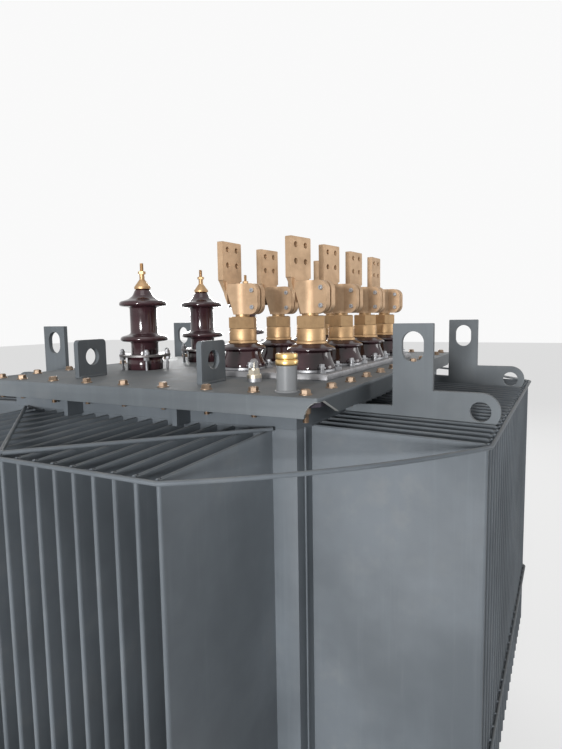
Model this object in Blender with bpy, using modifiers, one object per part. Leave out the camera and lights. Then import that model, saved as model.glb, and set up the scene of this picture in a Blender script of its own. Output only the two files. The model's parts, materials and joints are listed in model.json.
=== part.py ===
"""Oil-filled power transformer with a corrugated tank, standing on two channel skids.

Metres, +Z up, origin on the ground under the middle of the tank. The long sides face -Y (low voltage)
and +Y (high voltage). Heights on the cover are measured from its top face.
"""

import math

import bmesh
import bpy
from mathutils import Matrix, Vector

# Fits
SEAT_GAP = 0.0003
FUSE = 0.002

# Cover: a plate with its edges folded down
COVER_LENGTH = 1.490
COVER_WIDTH = 1.090
COVER_TOP = 1.400
COVER_PLATE = 0.010
SKIRT_DEPTH = 0.046
SKIRT_PLATE = 0.008
COVER_CORNER_RADIUS = 0.010
RELIEF_SIDE_TOP = 0.034
RELIEF_SIDE_BOTTOM = 0.118
RELIEF_END_BOTTOM = 0.033
RELIEF_STEPS = 6

# Tank walls and their corrugated sheets
END_WALL_INSET = 0.058
SIDE_WALL_INSET = 0.078
FIN_END_MARGIN = 0.060
SHEET = 0.006
SHEET_LIP = 0.004
CORNER_RETURN = 0.042
FIN_PITCH = 0.050
FIN_DEPTH = 0.395
FIN_THICKNESS = 0.010
FIN_HEIGHT = 1.000
FIN_TOP_DROP = 0.088
FIN_TOP_SLOPE = 0.010
FIN_TIP_STEPS = 4

# Rim of the tank under the cover, and the brackets below it on the end walls
RIM_THICKNESS = 0.015
RIM_SKIRT_CLEARANCE = 0.004
RIM_CORNER_CUT = 0.030
BRACKET_SPACING = 0.366
BRACKET_CENTRE_Y = 0.014
BRACKET_THICKNESS = 0.014
BRACKET_EDGE_INSET = 0.004

# Tank floor and skids
FLOOR_PLATE = 0.012
FLOOR_OVERHANG = 0.020
SKID_HEIGHT = 0.120
SKID_WIDTH = 0.060
SKID_WEB = 0.008
SKID_FLANGE = 0.011
SKID_LENGTH = 1.300
SKID_SPACING = 0.670

# Round rods welded to the fin tips
ROD_RADIUS = 0.005
UPPER_ROD_DROP = 0.004
LOWER_ROD_RISE = 0.224
ROD_CORNER_BULGE = 0.036
ROD_CORNER_STEPS = 6
BRACE_WALL_GAP = 0.012
BRACE_TIP_OFFSET = 0.0038

# Lifting lugs: plates that stand across the long sides
LUG_THICKNESS = 0.015
LUG_BAYS_APART = 15
LUG_STANDOFF = 0.052
LUG_LEG_WIDTH = 0.103
LUG_LEG_TOP = 0.147
LUG_LEG_CORNER = 0.003
LUG_SLOT_WIDTH = 0.056
LUG_SLOT_HEIGHT = 0.078
LUG_SLOT_LEVEL = 0.088
LUG_ARM_TOP_DROP = 0.023
LUG_ARM_RADIUS = 0.046
LUG_ARM_HOLE_RADIUS = 0.025
LUG_ARM_TIP_CLEARANCE = 0.001
LUG_FOOT_TOP_DROP = 0.066
LUG_FOOT_DROP = 0.235

# Lifting eyes on the cover
EYE_LENGTH = 0.110
EYE_HEIGHT = 0.110
EYE_THICKNESS = 0.016
EYE_CORNER = 0.012
EYE_HOLE_RADIUS = 0.025
EYE_HOLE_LEVEL = 0.060
EYE_END_INSET = 0.106
EYE_SPACING = 0.432
EYE_ROW_CENTRE_Y = 0.0445

# High-voltage bushings
HV_END_INSET = 0.4115
HV_ROW_Y = 0.271
HV_FOOT_RADIUS = 0.059
HV_FOOT_HEIGHT = 0.043
HV_NECK_RADIUS = 0.0445
HV_SHED_RADIUS = 0.078
HV_SHED_EDGE = 0.012
HV_LOWER_SHED = 0.103
HV_UPPER_SHED = 0.219
HV_SHED_RISE = 0.022
HV_SHED_UNDER = 0.012
HV_SHED_COLLAR = 0.007
HV_TOP_RADIUS = 0.026
HV_TOP = 0.266
HV_CLAMP_RADIUS = 0.084
HV_CLAMP_PLATE = 0.008
HV_CLAMP_BORE_CLEARANCE = 0.002
HV_CAP_RADIUS = 0.027
HV_CAP_RIM = 0.009
HV_CAP_HEIGHT = 0.031
HV_NUT_FLATS = 0.021
HV_NUT_HEIGHT = 0.011
HV_NUT_GAP = 0.001
HV_STUD_RADIUS = 0.006
HV_STUD_TOP = 0.352

# Low-voltage bushings
LV_LEFT_INSET = 0.3745
LV_RIGHT_INSET = 0.4315
LV_ROWS_Y = (-0.362, -0.140)
LV_COLUMNS = 4
LV_PLATE_MARGIN = 0.082
LV_PLATE = 0.016
LV_FOOT_RADIUS = 0.0665
LV_FOOT_RING_RADIUS = 0.0645
LV_FOOT_RING = 0.008
LV_FOOT_EDGE = 0.004
LV_WAIST_RADIUS = 0.052
LV_LIP_RADIUS = 0.0675
LV_LIP_LEVEL = 0.078
LV_LIP_EDGE = 0.005
LV_PORCELAIN_TOP = 0.093
LV_TOP_RADIUS = 0.047
LV_WASHER_RADIUS = 0.045
LV_WASHER = 0.008
LV_RING_RADIUS = 0.040
LV_RING_TOP = 0.137
LV_STUD_RADIUS = 0.021
LV_NUT_FLATS = 0.074
LV_NUT_TOP = 0.171
LV_STUD_TOP = 0.255

# Low-voltage terminals: a split clamp on the stud with a drilled palm above it
CLAMP_BOTTOM = 0.177
CLAMP_TOP = 0.266
CLAMP_RADIUS = 0.031
CLAMP_BORE_CLEARANCE = 0.0005
CLAMP_SLOT = 0.008
EAR_THICKNESS = 0.017
EAR_REACH = 0.066
EAR_CORNER = 0.026
CLAMP_HIP_RISE = 0.061
CLAMP_HIP_DEPTH = 0.020
PALM_FRONT = 0.033
PALM_THICKNESS = 0.018
PALM_WIDTH = 0.095
PALM_BOTTOM = 0.275
PALM_TOP = 0.388
PALM_CORNER = 0.003
TAIL_RECESS = 0.003
TAIL_WAIST_DROP = 0.043
TAIL_WAIST_DEPTH = 0.0095
TAIL_DROP = 0.070
PALM_HOLE_RADIUS = 0.008
PALM_HOLE_PITCH = 0.045
PALM_HOLE_TOP_EDGE = 0.022
PALM_TURNS_FRONT = (-11.0, -9.0, -6.0, -2.0)
PALM_TURNS_BACK = (-3.0, -8.0, -9.0, -6.0)

# Filler pipe and relief valve
PIPE_END_INSET = 0.073
PIPE_SIDE_INSET = 0.108
PIPE_RADIUS = 0.0235
PIPE_HEIGHT = 0.060
PIPE_CAP_RADIUS = 0.026
PIPE_CAP_HEIGHT = 0.026
VALVE_FROM_BUSHING_X = 0.1565
VALVE_FROM_BUSHING_Y = 0.095
VALVE_DISC_RADIUS = 0.0195
VALVE_HEX_RADIUS = 0.0145
VALVE_DOME_RADIUS = 0.012
VALVE_DISC_TOP = 0.019
VALVE_HEX_TOP = 0.035
VALVE_TOP = 0.061

# Facets of the round pieces
HV_STEPS = 20
LV_STEPS = 18
SMALL_STEPS = 16
HOLE_STEPS = 16
ROD_SIDES_RESOLUTION = 2

# Places worked out from the sizes above
HALF_LENGTH = COVER_LENGTH / 2 - END_WALL_INSET
HALF_WIDTH = COVER_WIDTH / 2 - SIDE_WALL_INSET
FIN_TOP = COVER_TOP - FIN_TOP_DROP
FIN_TIP_TOP = FIN_TOP - FIN_TOP_SLOPE
TANK_BOTTOM = SKID_HEIGHT + SEAT_GAP + FLOOR_PLATE
RIM_TOP = COVER_TOP - COVER_PLATE - SEAT_GAP
RIM_BOTTOM = RIM_TOP - RIM_THICKNESS
LV_SEAT = LV_PLATE + 2 * SEAT_GAP
END_FINS = 2 * math.floor((HALF_WIDTH - FIN_END_MARGIN) / FIN_PITCH) + 1
SIDE_FINS = 2 * math.floor((HALF_LENGTH - FIN_END_MARGIN) / FIN_PITCH) + 1
HV_PITCH = COVER_LENGTH / 2 - HV_END_INSET
LV_FIRST_X = LV_LEFT_INSET - COVER_LENGTH / 2
LV_PITCH = (COVER_LENGTH - LV_LEFT_INSET - LV_RIGHT_INSET) / (LV_COLUMNS - 1)
PALM_BACK = PALM_FRONT + PALM_THICKNESS
PIPE_AT = (PIPE_END_INSET - COVER_LENGTH / 2, PIPE_SIDE_INSET - COVER_WIDTH / 2)
VALVE_AT = (LV_FIRST_X - VALVE_FROM_BUSHING_X, LV_ROWS_Y[0] + VALVE_FROM_BUSHING_Y)

PAINT = "grey_blue_paint"
PORCELAIN = "brown_porcelain"
BRASS = "brass"
COPPER = "bare_copper_alloy"
STEEL = "zinc_steel"
COLOURS = {
    PAINT: ((0.165, 0.185, 0.205), 0.45, 0.0),
    PORCELAIN: ((0.045, 0.018, 0.015), 0.12, 0.0),
    BRASS: ((0.62, 0.42, 0.16), 0.30, 1.0),
    COPPER: ((0.60, 0.42, 0.27), 0.42, 1.0),
    STEEL: ((0.55, 0.56, 0.58), 0.35, 1.0),
}


def clear_scene():
    """Remove what the startup file holds."""
    for obj in list(bpy.data.objects):
        bpy.data.objects.remove(obj, do_unlink=True)


def new_collection(name):
    collection = bpy.data.collections.new(name)
    bpy.context.scene.collection.children.link(collection)
    return collection


def material(name, kind):
    """A Principled material of one kind, made anew for each sub-part."""
    colour, roughness, metallic = COLOURS[kind]
    made = bpy.data.materials.new(f"{name}_{kind}")
    made.use_nodes = True
    shader = made.node_tree.nodes["Principled BSDF"]
    shader.inputs["Base Color"].default_value = (*colour, 1.0)
    shader.inputs["Roughness"].default_value = roughness
    shader.inputs["Metallic"].default_value = metallic
    made.diffuse_color = (*colour, 1.0)
    return made


clear_scene()
PARTS = new_collection("power_transformer")
CUTTERS = new_collection("cutters")


def add_object(name, mesh, at=(0.0, 0.0, 0.0), turn=0.0):
    """Put a mesh in the parts collection, turned about Z."""
    obj = bpy.data.objects.new(name, mesh)
    obj.location = at
    obj.rotation_euler = (0.0, 0.0, turn)
    PARTS.objects.link(obj)
    return obj


def dress(obj, kind, smooth=False):
    """Give an object its material and, where it is round, smooth shading with sharp edges kept."""
    obj.data.materials.clear()
    obj.data.materials.append(material(obj.name, kind))
    if smooth:
        obj.data.shade_smooth()
        obj.data.set_sharp_from_angle(angle=math.radians(35.0))
    return obj


def as_cutter(obj):
    """Keep an object as a hidden guide for Booleans."""
    for collection in list(obj.users_collection):
        collection.objects.unlink(obj)
    CUTTERS.objects.link(obj)
    obj.hide_render = True
    obj.display_type = "WIRE"
    return obj


def boolean(obj, other, operation):
    """Join, cut or intersect an object with another, which becomes a guide."""
    modifier = obj.modifiers.new(f"{operation.lower()}_{other.name}", "BOOLEAN")
    modifier.operation = operation
    modifier.solver = "EXACT"
    modifier.object = as_cutter(other)
    return obj


def settled(obj):
    """Turn an object's modifiers or curve into a plain mesh, in place and under the same name."""
    bpy.context.view_layer.update()
    graph = bpy.context.evaluated_depsgraph_get()
    mesh = bpy.data.meshes.new_from_object(obj.evaluated_get(graph))
    work = bmesh.new()
    work.from_mesh(mesh)
    bmesh.ops.remove_doubles(work, verts=work.verts, dist=1e-6)
    bmesh.ops.recalc_face_normals(work, faces=work.faces)
    work.to_mesh(mesh)
    work.free()
    name, place = obj.name, obj.matrix_world.copy()
    bpy.data.objects.remove(obj, do_unlink=True)
    made = add_object(name, mesh)
    made.matrix_world = place
    return made


def flat_shape(name, outline, thickness, holes=()):
    """A plate from a flat outline in XY with holes, from z = 0 up to its thickness."""
    curve = bpy.data.curves.new(name, "CURVE")
    curve.dimensions = "2D"
    curve.fill_mode = "BOTH"
    curve.extrude = thickness / 2
    for loop in (outline, *holes):
        spline = curve.splines.new("POLY")
        spline.points.add(len(loop) - 1)
        for point, (x, y) in zip(spline.points, loop):
            point.co = (x, y, 0.0, 1.0)
        spline.use_cyclic_u = True
    obj = add_object(name, curve)
    obj = settled(obj)
    obj.data.transform(Matrix.Translation((0.0, 0.0, thickness / 2)))
    return obj


def stand_up(obj, x_to, y_to, origin):
    """Turn a plate so that its outline's X and Y run along two world directions."""
    x_axis, y_axis = Vector(x_to), Vector(y_to)
    frame = Matrix((x_axis, y_axis, x_axis.cross(y_axis))).transposed().to_4x4()
    obj.data.transform(Matrix.Translation(origin) @ frame)
    return obj


def box(name, low, high):
    """A rectangular block between two corners."""
    bpy.ops.mesh.primitive_cube_add(size=1.0)
    obj = bpy.context.active_object
    obj.name = name
    for collection in list(obj.users_collection):
        collection.objects.unlink(obj)
    PARTS.objects.link(obj)
    size = [b - a for a, b in zip(low, high)]
    middle = [(a + b) / 2 for a, b in zip(low, high)]
    obj.data.transform(Matrix.Translation(middle) @ Matrix.Diagonal((*size, 1.0)))
    return obj


def turned(name, profile, steps):
    """A solid of revolution about Z from (radius, height) points, top to bottom."""
    mesh = bpy.data.meshes.new(name)
    points = [(radius, 0.0, height) for radius, height in profile]
    mesh.from_pydata(points, [(i, i + 1) for i in range(len(points) - 1)], [])
    obj = add_object(name, mesh)
    screw = obj.modifiers.new("turn", "SCREW")
    screw.steps = steps
    screw.render_steps = steps
    screw.use_merge_vertices = True
    screw.merge_threshold = 0.00001
    return settled(obj)


def prism(name, sides, flats, low, high, turn=0.0):
    """A regular prism about Z, such as a hexagon nut, by its width across flats."""
    radius = flats / 2 / math.cos(math.pi / sides)
    bpy.ops.mesh.primitive_cylinder_add(vertices=sides, radius=radius, depth=high - low)
    obj = bpy.context.active_object
    obj.name = name
    for collection in list(obj.users_collection):
        collection.objects.unlink(obj)
    PARTS.objects.link(obj)
    obj.data.transform(Matrix.Translation((0.0, 0.0, (low + high) / 2)) @ Matrix.Rotation(turn, 4, "Z"))
    return obj


def rod(name, points, radius, closed=False):
    """A round rod along a line of points."""
    curve = bpy.data.curves.new(name, "CURVE")
    curve.dimensions = "3D"
    curve.bevel_depth = radius
    curve.bevel_resolution = ROD_SIDES_RESOLUTION
    curve.use_fill_caps = True
    spline = curve.splines.new("POLY")
    spline.points.add(len(points) - 1)
    for point, place in zip(spline.points, points):
        point.co = (*place, 1.0)
    spline.use_cyclic_u = closed
    return settled(add_object(name, curve))


def arc(centre, radius, start, end, steps):
    """Points on an arc from one angle in degrees to another."""
    angles = [math.radians(start + (end - start) * i / steps) for i in range(steps + 1)]
    return [(centre[0] + radius * math.cos(a), centre[1] + radius * math.sin(a)) for a in angles]


def circle(centre, radius, steps=HOLE_STEPS):
    return arc(centre, radius, 0.0, 360.0 * (steps - 1) / steps, steps - 1)


def rounded_rectangle(low, high, radius, steps=3):
    """An outline with four round corners, counter-clockwise from the lower right."""
    (x0, y0), (x1, y1) = low, high
    return [
        *arc((x1 - radius, y0 + radius), radius, -90.0, 0.0, steps),
        *arc((x1 - radius, y1 - radius), radius, 0.0, 90.0, steps),
        *arc((x0 + radius, y1 - radius), radius, 90.0, 180.0, steps),
        *arc((x0 + radius, y0 + radius), radius, 180.0, 270.0, steps),
    ]


def fin_centres(count):
    """Places of the fins along a wall, either side of its middle."""
    return [(i - (count - 1) / 2) * FIN_PITCH for i in range(count)]


def comb_outline(half_length, count, back, front):
    """Plan of a strip of sheet with fins on it: along the wall, then outward."""
    half = FIN_THICKNESS / 2
    points = [(-half_length, back), (-half_length, front)]
    for centre in fin_centres(count):
        tip = arc((centre, FIN_DEPTH - half), half, 180.0, 0.0, FIN_TIP_STEPS)
        points += [(centre - half, front), *tip, (centre + half, front)]
    return [*points, (half_length, front), (half_length, back)]


def sheet_outline(half_length, corner_return):
    """Plan of a wall sheet, with its ends turned round the tank's corners where it has returns."""
    if not corner_return:
        return [(-half_length, -SHEET), (half_length, -SHEET), (half_length, 0.0), (-half_length, 0.0)]
    inner = half_length - SHEET
    return [
        (-half_length, 0.0),
        (-half_length, -corner_return),
        (-inner, -corner_return),
        (-inner, -SHEET),
        (inner, -SHEET),
        (inner, -corner_return),
        (half_length, -corner_return),
        (half_length, 0.0),
    ]


def fin_wall(name, half_length, corner_return, count, outward, wall_at):
    """A corrugated wall: one sheet from the floor up to the collar, with closed fins along it."""
    along = Vector((outward[1], -outward[0], 0.0))
    base = Vector(outward) * wall_at
    wall_height = FIN_TOP + SHEET_LIP - TANK_BOTTOM
    sheet = flat_shape(name, sheet_outline(half_length, corner_return), wall_height)
    stand_up(sheet, along, outward, base + Vector((0.0, 0.0, TANK_BOTTOM)))
    inner_half = half_length - 2 * SHEET
    comb = comb_outline(inner_half, count, -0.75 * SHEET, -0.25 * SHEET)
    fins = flat_shape(f"{name}_fins", comb, FIN_HEIGHT)
    for vertex in fins.data.vertices:
        if vertex.co.z > FIN_HEIGHT / 2:
            vertex.co.z -= FIN_TOP_SLOPE * vertex.co.y / FIN_DEPTH
    stand_up(fins, along, outward, base + Vector((0.0, 0.0, FIN_TOP - FIN_HEIGHT)))
    boolean(sheet, fins, "UNION")
    return dress(settled(sheet), PAINT)


def build_fin_walls():
    end_half = HALF_WIDTH
    side_half = HALF_LENGTH - CORNER_RETURN - SEAT_GAP
    fin_wall("fin_wall_left", end_half, CORNER_RETURN, END_FINS, (-1.0, 0.0, 0.0), HALF_LENGTH)
    fin_wall("fin_wall_right", end_half, CORNER_RETURN, END_FINS, (1.0, 0.0, 0.0), HALF_LENGTH)
    fin_wall("fin_wall_front", side_half, 0.0, SIDE_FINS, (0.0, -1.0, 0.0), HALF_WIDTH)
    fin_wall("fin_wall_back", side_half, 0.0, SIDE_FINS, (0.0, 1.0, 0.0), HALF_WIDTH)


def rim_bracket(name, y, side):
    """A plate bracket under the rim, from the end wall out below the cover's skirt."""
    outer = COVER_LENGTH / 2 - BRACKET_EDGE_INSET
    rim_edge = COVER_LENGTH / 2 - SKIRT_PLATE - RIM_SKIRT_CLEARANCE - FUSE
    skirt_bottom = COVER_TOP - SKIRT_DEPTH - SEAT_GAP
    bottom = FIN_TOP + SEAT_GAP
    collar_bottom = FIN_TOP + SHEET_LIP + 2 * FUSE
    wall = HALF_LENGTH - FUSE
    outline = [
        (HALF_LENGTH + SEAT_GAP, bottom),
        (outer, bottom),
        (outer, skirt_bottom),
        (rim_edge, skirt_bottom),
        (rim_edge, RIM_BOTTOM + FUSE),
        (wall, RIM_BOTTOM + FUSE),
        (wall, collar_bottom),
        (HALF_LENGTH + SEAT_GAP, collar_bottom),
    ]
    plate = flat_shape(name, outline, BRACKET_THICKNESS)
    place = (0.0, y + side * BRACKET_THICKNESS / 2, 0.0)
    return stand_up(plate, (side, 0.0, 0.0), (0.0, 0.0, 1.0), place)


def build_tank():
    """The core of the tank inside the corrugated sheets, with its floor, collar, rim and brackets."""
    inside = SHEET + SEAT_GAP
    x, y = HALF_LENGTH - inside, HALF_WIDTH - inside
    tank = box("tank_body", (-x, -y, TANK_BOTTOM - FUSE), (x, y, RIM_TOP - FUSE))
    floor_x, floor_y = HALF_LENGTH + FLOOR_OVERHANG, HALF_WIDTH + FLOOR_OVERHANG
    floor_top = TANK_BOTTOM - SEAT_GAP
    floor = box("tank_floor", (-floor_x, -floor_y, SKID_HEIGHT + SEAT_GAP), (floor_x, floor_y, floor_top))
    boolean(tank, floor, "UNION")
    collar_low = (-HALF_LENGTH, -HALF_WIDTH, FIN_TOP + SHEET_LIP + SEAT_GAP)
    collar = box("tank_collar", collar_low, (HALF_LENGTH, HALF_WIDTH, RIM_TOP - 2 * FUSE))
    boolean(tank, collar, "UNION")
    edge = SKIRT_PLATE + RIM_SKIRT_CLEARANCE
    rim_x, rim_y, cut = COVER_LENGTH / 2 - edge, COVER_WIDTH / 2 - edge, RIM_CORNER_CUT
    rim_plan = [
        (rim_x, -rim_y + cut),
        (rim_x, rim_y - cut),
        (rim_x - cut, rim_y),
        (-rim_x + cut, rim_y),
        (-rim_x, rim_y - cut),
        (-rim_x, -rim_y + cut),
        (-rim_x + cut, -rim_y),
        (rim_x - cut, -rim_y),
    ]
    rim = flat_shape("tank_rim", rim_plan, RIM_THICKNESS)
    rim.data.transform(Matrix.Translation((0.0, 0.0, RIM_BOTTOM)))
    boolean(tank, rim, "UNION")
    for side in (-1.0, 1.0):
        for row in (-0.5, 0.5):
            y_at = BRACKET_CENTRE_Y + row * BRACKET_SPACING
            bracket = rim_bracket(f"rim_bracket_{side:+.0f}_{row:+.1f}", y_at, side)
            boolean(tank, bracket, "UNION")
    return dress(settled(tank), PAINT)


def build_cover():
    """A plate with folded edges, open below, with its corners cut away for the corner bolts."""
    x, y = COVER_LENGTH / 2, COVER_WIDTH / 2
    plan = rounded_rectangle((-x, -y), (x, y), COVER_CORNER_RADIUS, 2)
    cover = flat_shape("cover", plan, SKIRT_DEPTH)
    cover.data.transform(Matrix.Translation((0.0, 0.0, COVER_TOP - SKIRT_DEPTH)))
    below = COVER_TOP - SKIRT_DEPTH - COVER_PLATE
    pocket_low = (SKIRT_PLATE - x, SKIRT_PLATE - y, below)
    pocket_high = (x - SKIRT_PLATE, y - SKIRT_PLATE, COVER_TOP - COVER_PLATE)
    boolean(cover, box("cover_pocket", pocket_low, pocket_high), "DIFFERENCE")
    for sx in (-1.0, 1.0):
        for sy in (-1.0, 1.0):
            for relief in corner_reliefs(sx, sy):
                boolean(cover, relief, "DIFFERENCE")
    return dress(settled(cover), PAINT)


def relief_outlines():
    """Cuts at one corner, from the corner along the edge and up: in the end's fold and in the side's fold."""
    depth = SKIRT_DEPTH - COVER_PLATE
    curve = arc((0.0, 0.0), 1.0, 90.0, 0.0, RELIEF_STEPS)
    end_cut = [(RELIEF_END_BOTTOM * c, depth * s) for c, s in curve]
    slope = (RELIEF_SIDE_BOTTOM - RELIEF_SIDE_TOP) / depth
    side_cut = [(RELIEF_SIDE_TOP, depth), (RELIEF_SIDE_BOTTOM + FUSE * slope, -FUSE)]
    end_cut = [(-FUSE, depth), *end_cut, (RELIEF_END_BOTTOM, -FUSE), (-FUSE, -FUSE)]
    return end_cut, [(-FUSE, depth), *side_cut, (-FUSE, -FUSE)]


def corner_reliefs(sx, sy):
    """Two prisms that open the folds at one corner: an arch in the end's and a slope in the side's."""
    end_cut, side_cut = relief_outlines()
    x, y, low = sx * COVER_LENGTH / 2, sy * COVER_WIDTH / 2, COVER_TOP - SKIRT_DEPTH
    thickness = SKIRT_PLATE + 2 * FUSE
    x_from = x - sx * SKIRT_PLATE / 2 + sy * thickness / 2
    across = flat_shape(f"end_relief_{sx:+.0f}_{sy:+.0f}", end_cut, thickness)
    stand_up(across, (0.0, -sy, 0.0), (0.0, 0.0, 1.0), (x_from, y, low))
    y_from = y - sy * SKIRT_PLATE / 2 - sx * thickness / 2
    along = flat_shape(f"side_relief_{sx:+.0f}_{sy:+.0f}", side_cut, thickness)
    stand_up(along, (-sx, 0.0, 0.0), (0.0, 0.0, 1.0), (x, y_from, low))
    return across, along


def build_skids():
    """Two channels under the floor, with their backs outward."""
    half_width, half_length = SKID_WIDTH / 2, SKID_LENGTH / 2
    channel = [
        (-half_width, 0.0),
        (half_width, 0.0),
        (half_width, SKID_FLANGE),
        (-half_width + SKID_WEB, SKID_FLANGE),
        (-half_width + SKID_WEB, SKID_HEIGHT - SKID_FLANGE),
        (half_width, SKID_HEIGHT - SKID_FLANGE),
        (half_width, SKID_HEIGHT),
        (-half_width, SKID_HEIGHT),
    ]
    for name, side in (("skid_front", -1.0), ("skid_back", 1.0)):
        skid = flat_shape(name, channel, SKID_LENGTH)
        place = (side * half_length, side * SKID_SPACING / 2, 0.0)
        stand_up(skid, (0.0, -side, 0.0), (0.0, 0.0, 1.0), place)
        dress(skid, PAINT)


def corner_arc(start, end):
    """A shallow arc between two points in plan, bulging away from the middle."""
    chord = end - start
    half, bulge = chord.length / 2, ROD_CORNER_BULGE
    radius = (half * half + bulge * bulge) / (2 * bulge)
    middle = (start + end) / 2
    outward = Vector((-chord.y, chord.x)).normalized()
    if outward.dot(middle) < 0.0:
        outward = -outward
    centre = middle + outward * (bulge - radius)
    swing = math.asin(half / radius)
    along = chord.normalized()
    steps = [swing * (2 * i / ROD_CORNER_STEPS - 1) for i in range(ROD_CORNER_STEPS + 1)]
    return [centre + radius * (math.sin(a) * along + math.cos(a) * outward) for a in steps]


def build_tip_rods(name, level):
    """A ring of rod along all fin tips, crossing each corner of the tank in the open."""
    reach = FIN_DEPTH + SEAT_GAP + ROD_RADIUS
    x, y = HALF_LENGTH + reach, HALF_WIDTH + reach
    last_end = fin_centres(END_FINS)[-1] + FIN_THICKNESS / 2
    last_side = fin_centres(SIDE_FINS)[-1] + FIN_THICKNESS / 2
    points = []
    for sx, sy in ((1, 1), (-1, 1), (-1, -1), (1, -1)):
        on_end = Vector((sx * x, sy * last_end))
        on_side = Vector((sx * last_side, sy * y))
        pair = (on_end, on_side) if sx * sy > 0 else (on_side, on_end)
        points += [(p.x, p.y, level) for p in corner_arc(*pair)]
    return dress(rod(name, points, ROD_RADIUS, closed=True), PAINT, smooth=True)


def build_brace_rods():
    """Straight rods over the end fins, in a V: from each corner of the wall to the middle fin's tip."""
    slope = FIN_TOP_SLOPE / FIN_DEPTH
    level = FIN_TOP + SEAT_GAP + ROD_RADIUS * math.hypot(1.0, slope)
    corner = fin_centres(END_FINS)[-1] + FIN_PITCH / 4
    tip_reach = FIN_DEPTH - ROD_RADIUS
    for end_name, sx in (("left", -1.0), ("right", 1.0)):
        for row_name, sy in (("front", -1.0), ("back", 1.0)):
            wall_level, tip_level = level - slope * BRACE_WALL_GAP, level - slope * tip_reach
            wall = (sx * (HALF_LENGTH + BRACE_WALL_GAP), sy * corner, wall_level)
            tip = (sx * (HALF_LENGTH + tip_reach), sy * BRACE_TIP_OFFSET, tip_level)
            dress(rod(f"brace_rod_{end_name}_{row_name}", [wall, tip], ROD_RADIUS), PAINT, smooth=True)


def lug_outline():
    """Side view of a lifting lug: outward from the cover's edge, then up from its top face."""
    wall = HALF_WIDTH + SEAT_GAP - COVER_WIDTH / 2
    leg_in, leg_out = LUG_STANDOFF, LUG_STANDOFF + LUG_LEG_WIDTH
    tip = FIN_DEPTH + HALF_WIDTH - COVER_WIDTH / 2 - LUG_ARM_TIP_CLEARANCE
    eye = (tip - LUG_ARM_RADIUS, -LUG_ARM_TOP_DROP - LUG_ARM_RADIUS)
    corner = LUG_LEG_CORNER
    outline = [
        (wall, -LUG_FOOT_DROP),
        *arc(eye, LUG_ARM_RADIUS, -70.0, 90.0, 10),
        (leg_out, -LUG_ARM_TOP_DROP),
        *arc((leg_out - corner, LUG_LEG_TOP - corner), corner, 0.0, 90.0, 2),
        *arc((leg_in + corner, LUG_LEG_TOP - corner), corner, 90.0, 180.0, 2),
        (leg_in, -LUG_FOOT_TOP_DROP),
        (wall, -LUG_FOOT_TOP_DROP),
    ]
    return outline, eye


def lug_slot():
    """The upright oblong hole in a lug's leg."""
    radius = LUG_SLOT_WIDTH / 2
    straight = LUG_SLOT_HEIGHT / 2 - radius
    across = LUG_STANDOFF + LUG_LEG_WIDTH / 2
    upper, lower = (across, LUG_SLOT_LEVEL + straight), (across, LUG_SLOT_LEVEL - straight)
    return [*arc(upper, radius, 0.0, 180.0, 8), *arc(lower, radius, 180.0, 360.0, 8)]


def build_lugs():
    outline, eye = lug_outline()
    holes = (lug_slot(), circle(eye, LUG_ARM_HOLE_RADIUS))
    for side_name, sy in (("front", -1.0), ("back", 1.0)):
        for end_name, sx in (("left", -1.0), ("right", 1.0)):
            lug = flat_shape(f"lifting_lug_{side_name}_{end_name}", outline, LUG_THICKNESS, holes)
            x = sx * LUG_BAYS_APART * FIN_PITCH / 2 - sy * LUG_THICKNESS / 2
            stand_up(lug, (0.0, sy, 0.0), (0.0, 0.0, 1.0), (x, sy * COVER_WIDTH / 2, COVER_TOP))
            dress(lug, PAINT)


def build_eyes():
    """Four upright plates on the cover near its ends, parallel to the long sides."""
    corner = EYE_CORNER
    outline = [
        (0.0, 0.0),
        (EYE_LENGTH, 0.0),
        *arc((EYE_LENGTH - corner, EYE_HEIGHT - corner), corner, 0.0, 90.0, 3),
        *arc((corner, EYE_HEIGHT - corner), corner, 90.0, 180.0, 3),
    ]
    hole = circle((EYE_LENGTH / 2, EYE_HOLE_LEVEL), EYE_HOLE_RADIUS)
    for row_name, row in (("front", -0.5), ("back", 0.5)):
        for end_name, sx in (("left", -1.0), ("right", 1.0)):
            eye = flat_shape(f"cover_eye_{row_name}_{end_name}", outline, EYE_THICKNESS, (hole,))
            x = sx * (COVER_LENGTH / 2 - EYE_END_INSET) - (sx + 1.0) / 2 * EYE_LENGTH
            y = EYE_ROW_CENTRE_Y + row * EYE_SPACING + EYE_THICKNESS / 2
            stand_up(eye, (1.0, 0.0, 0.0), (0.0, 0.0, 1.0), (x, y, COVER_TOP + SEAT_GAP))
            dress(eye, PAINT)


def shed(level, neck, above):
    """Profile of one porcelain shed, top to bottom, between a body above and a neck below."""
    return [
        (above, level + HV_SHED_RISE),
        (HV_SHED_RADIUS, level + HV_SHED_EDGE / 2),
        (HV_SHED_RADIUS, level - HV_SHED_EDGE / 2),
        (neck, level - HV_SHED_UNDER),
    ]


def hv_porcelain(name):
    profile = [
        (0.0, HV_TOP),
        (HV_TOP_RADIUS, HV_TOP),
        *shed(HV_UPPER_SHED, HV_NECK_RADIUS, HV_TOP_RADIUS + HV_SHED_COLLAR),
        *shed(HV_LOWER_SHED, HV_NECK_RADIUS, HV_NECK_RADIUS),
        (HV_NECK_RADIUS, HV_FOOT_HEIGHT),
        (HV_FOOT_RADIUS, HV_FOOT_HEIGHT),
        (HV_FOOT_RADIUS, 0.0),
        (0.0, 0.0),
    ]
    return dress(turned(name, profile, HV_STEPS), PORCELAIN, smooth=True)


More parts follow.
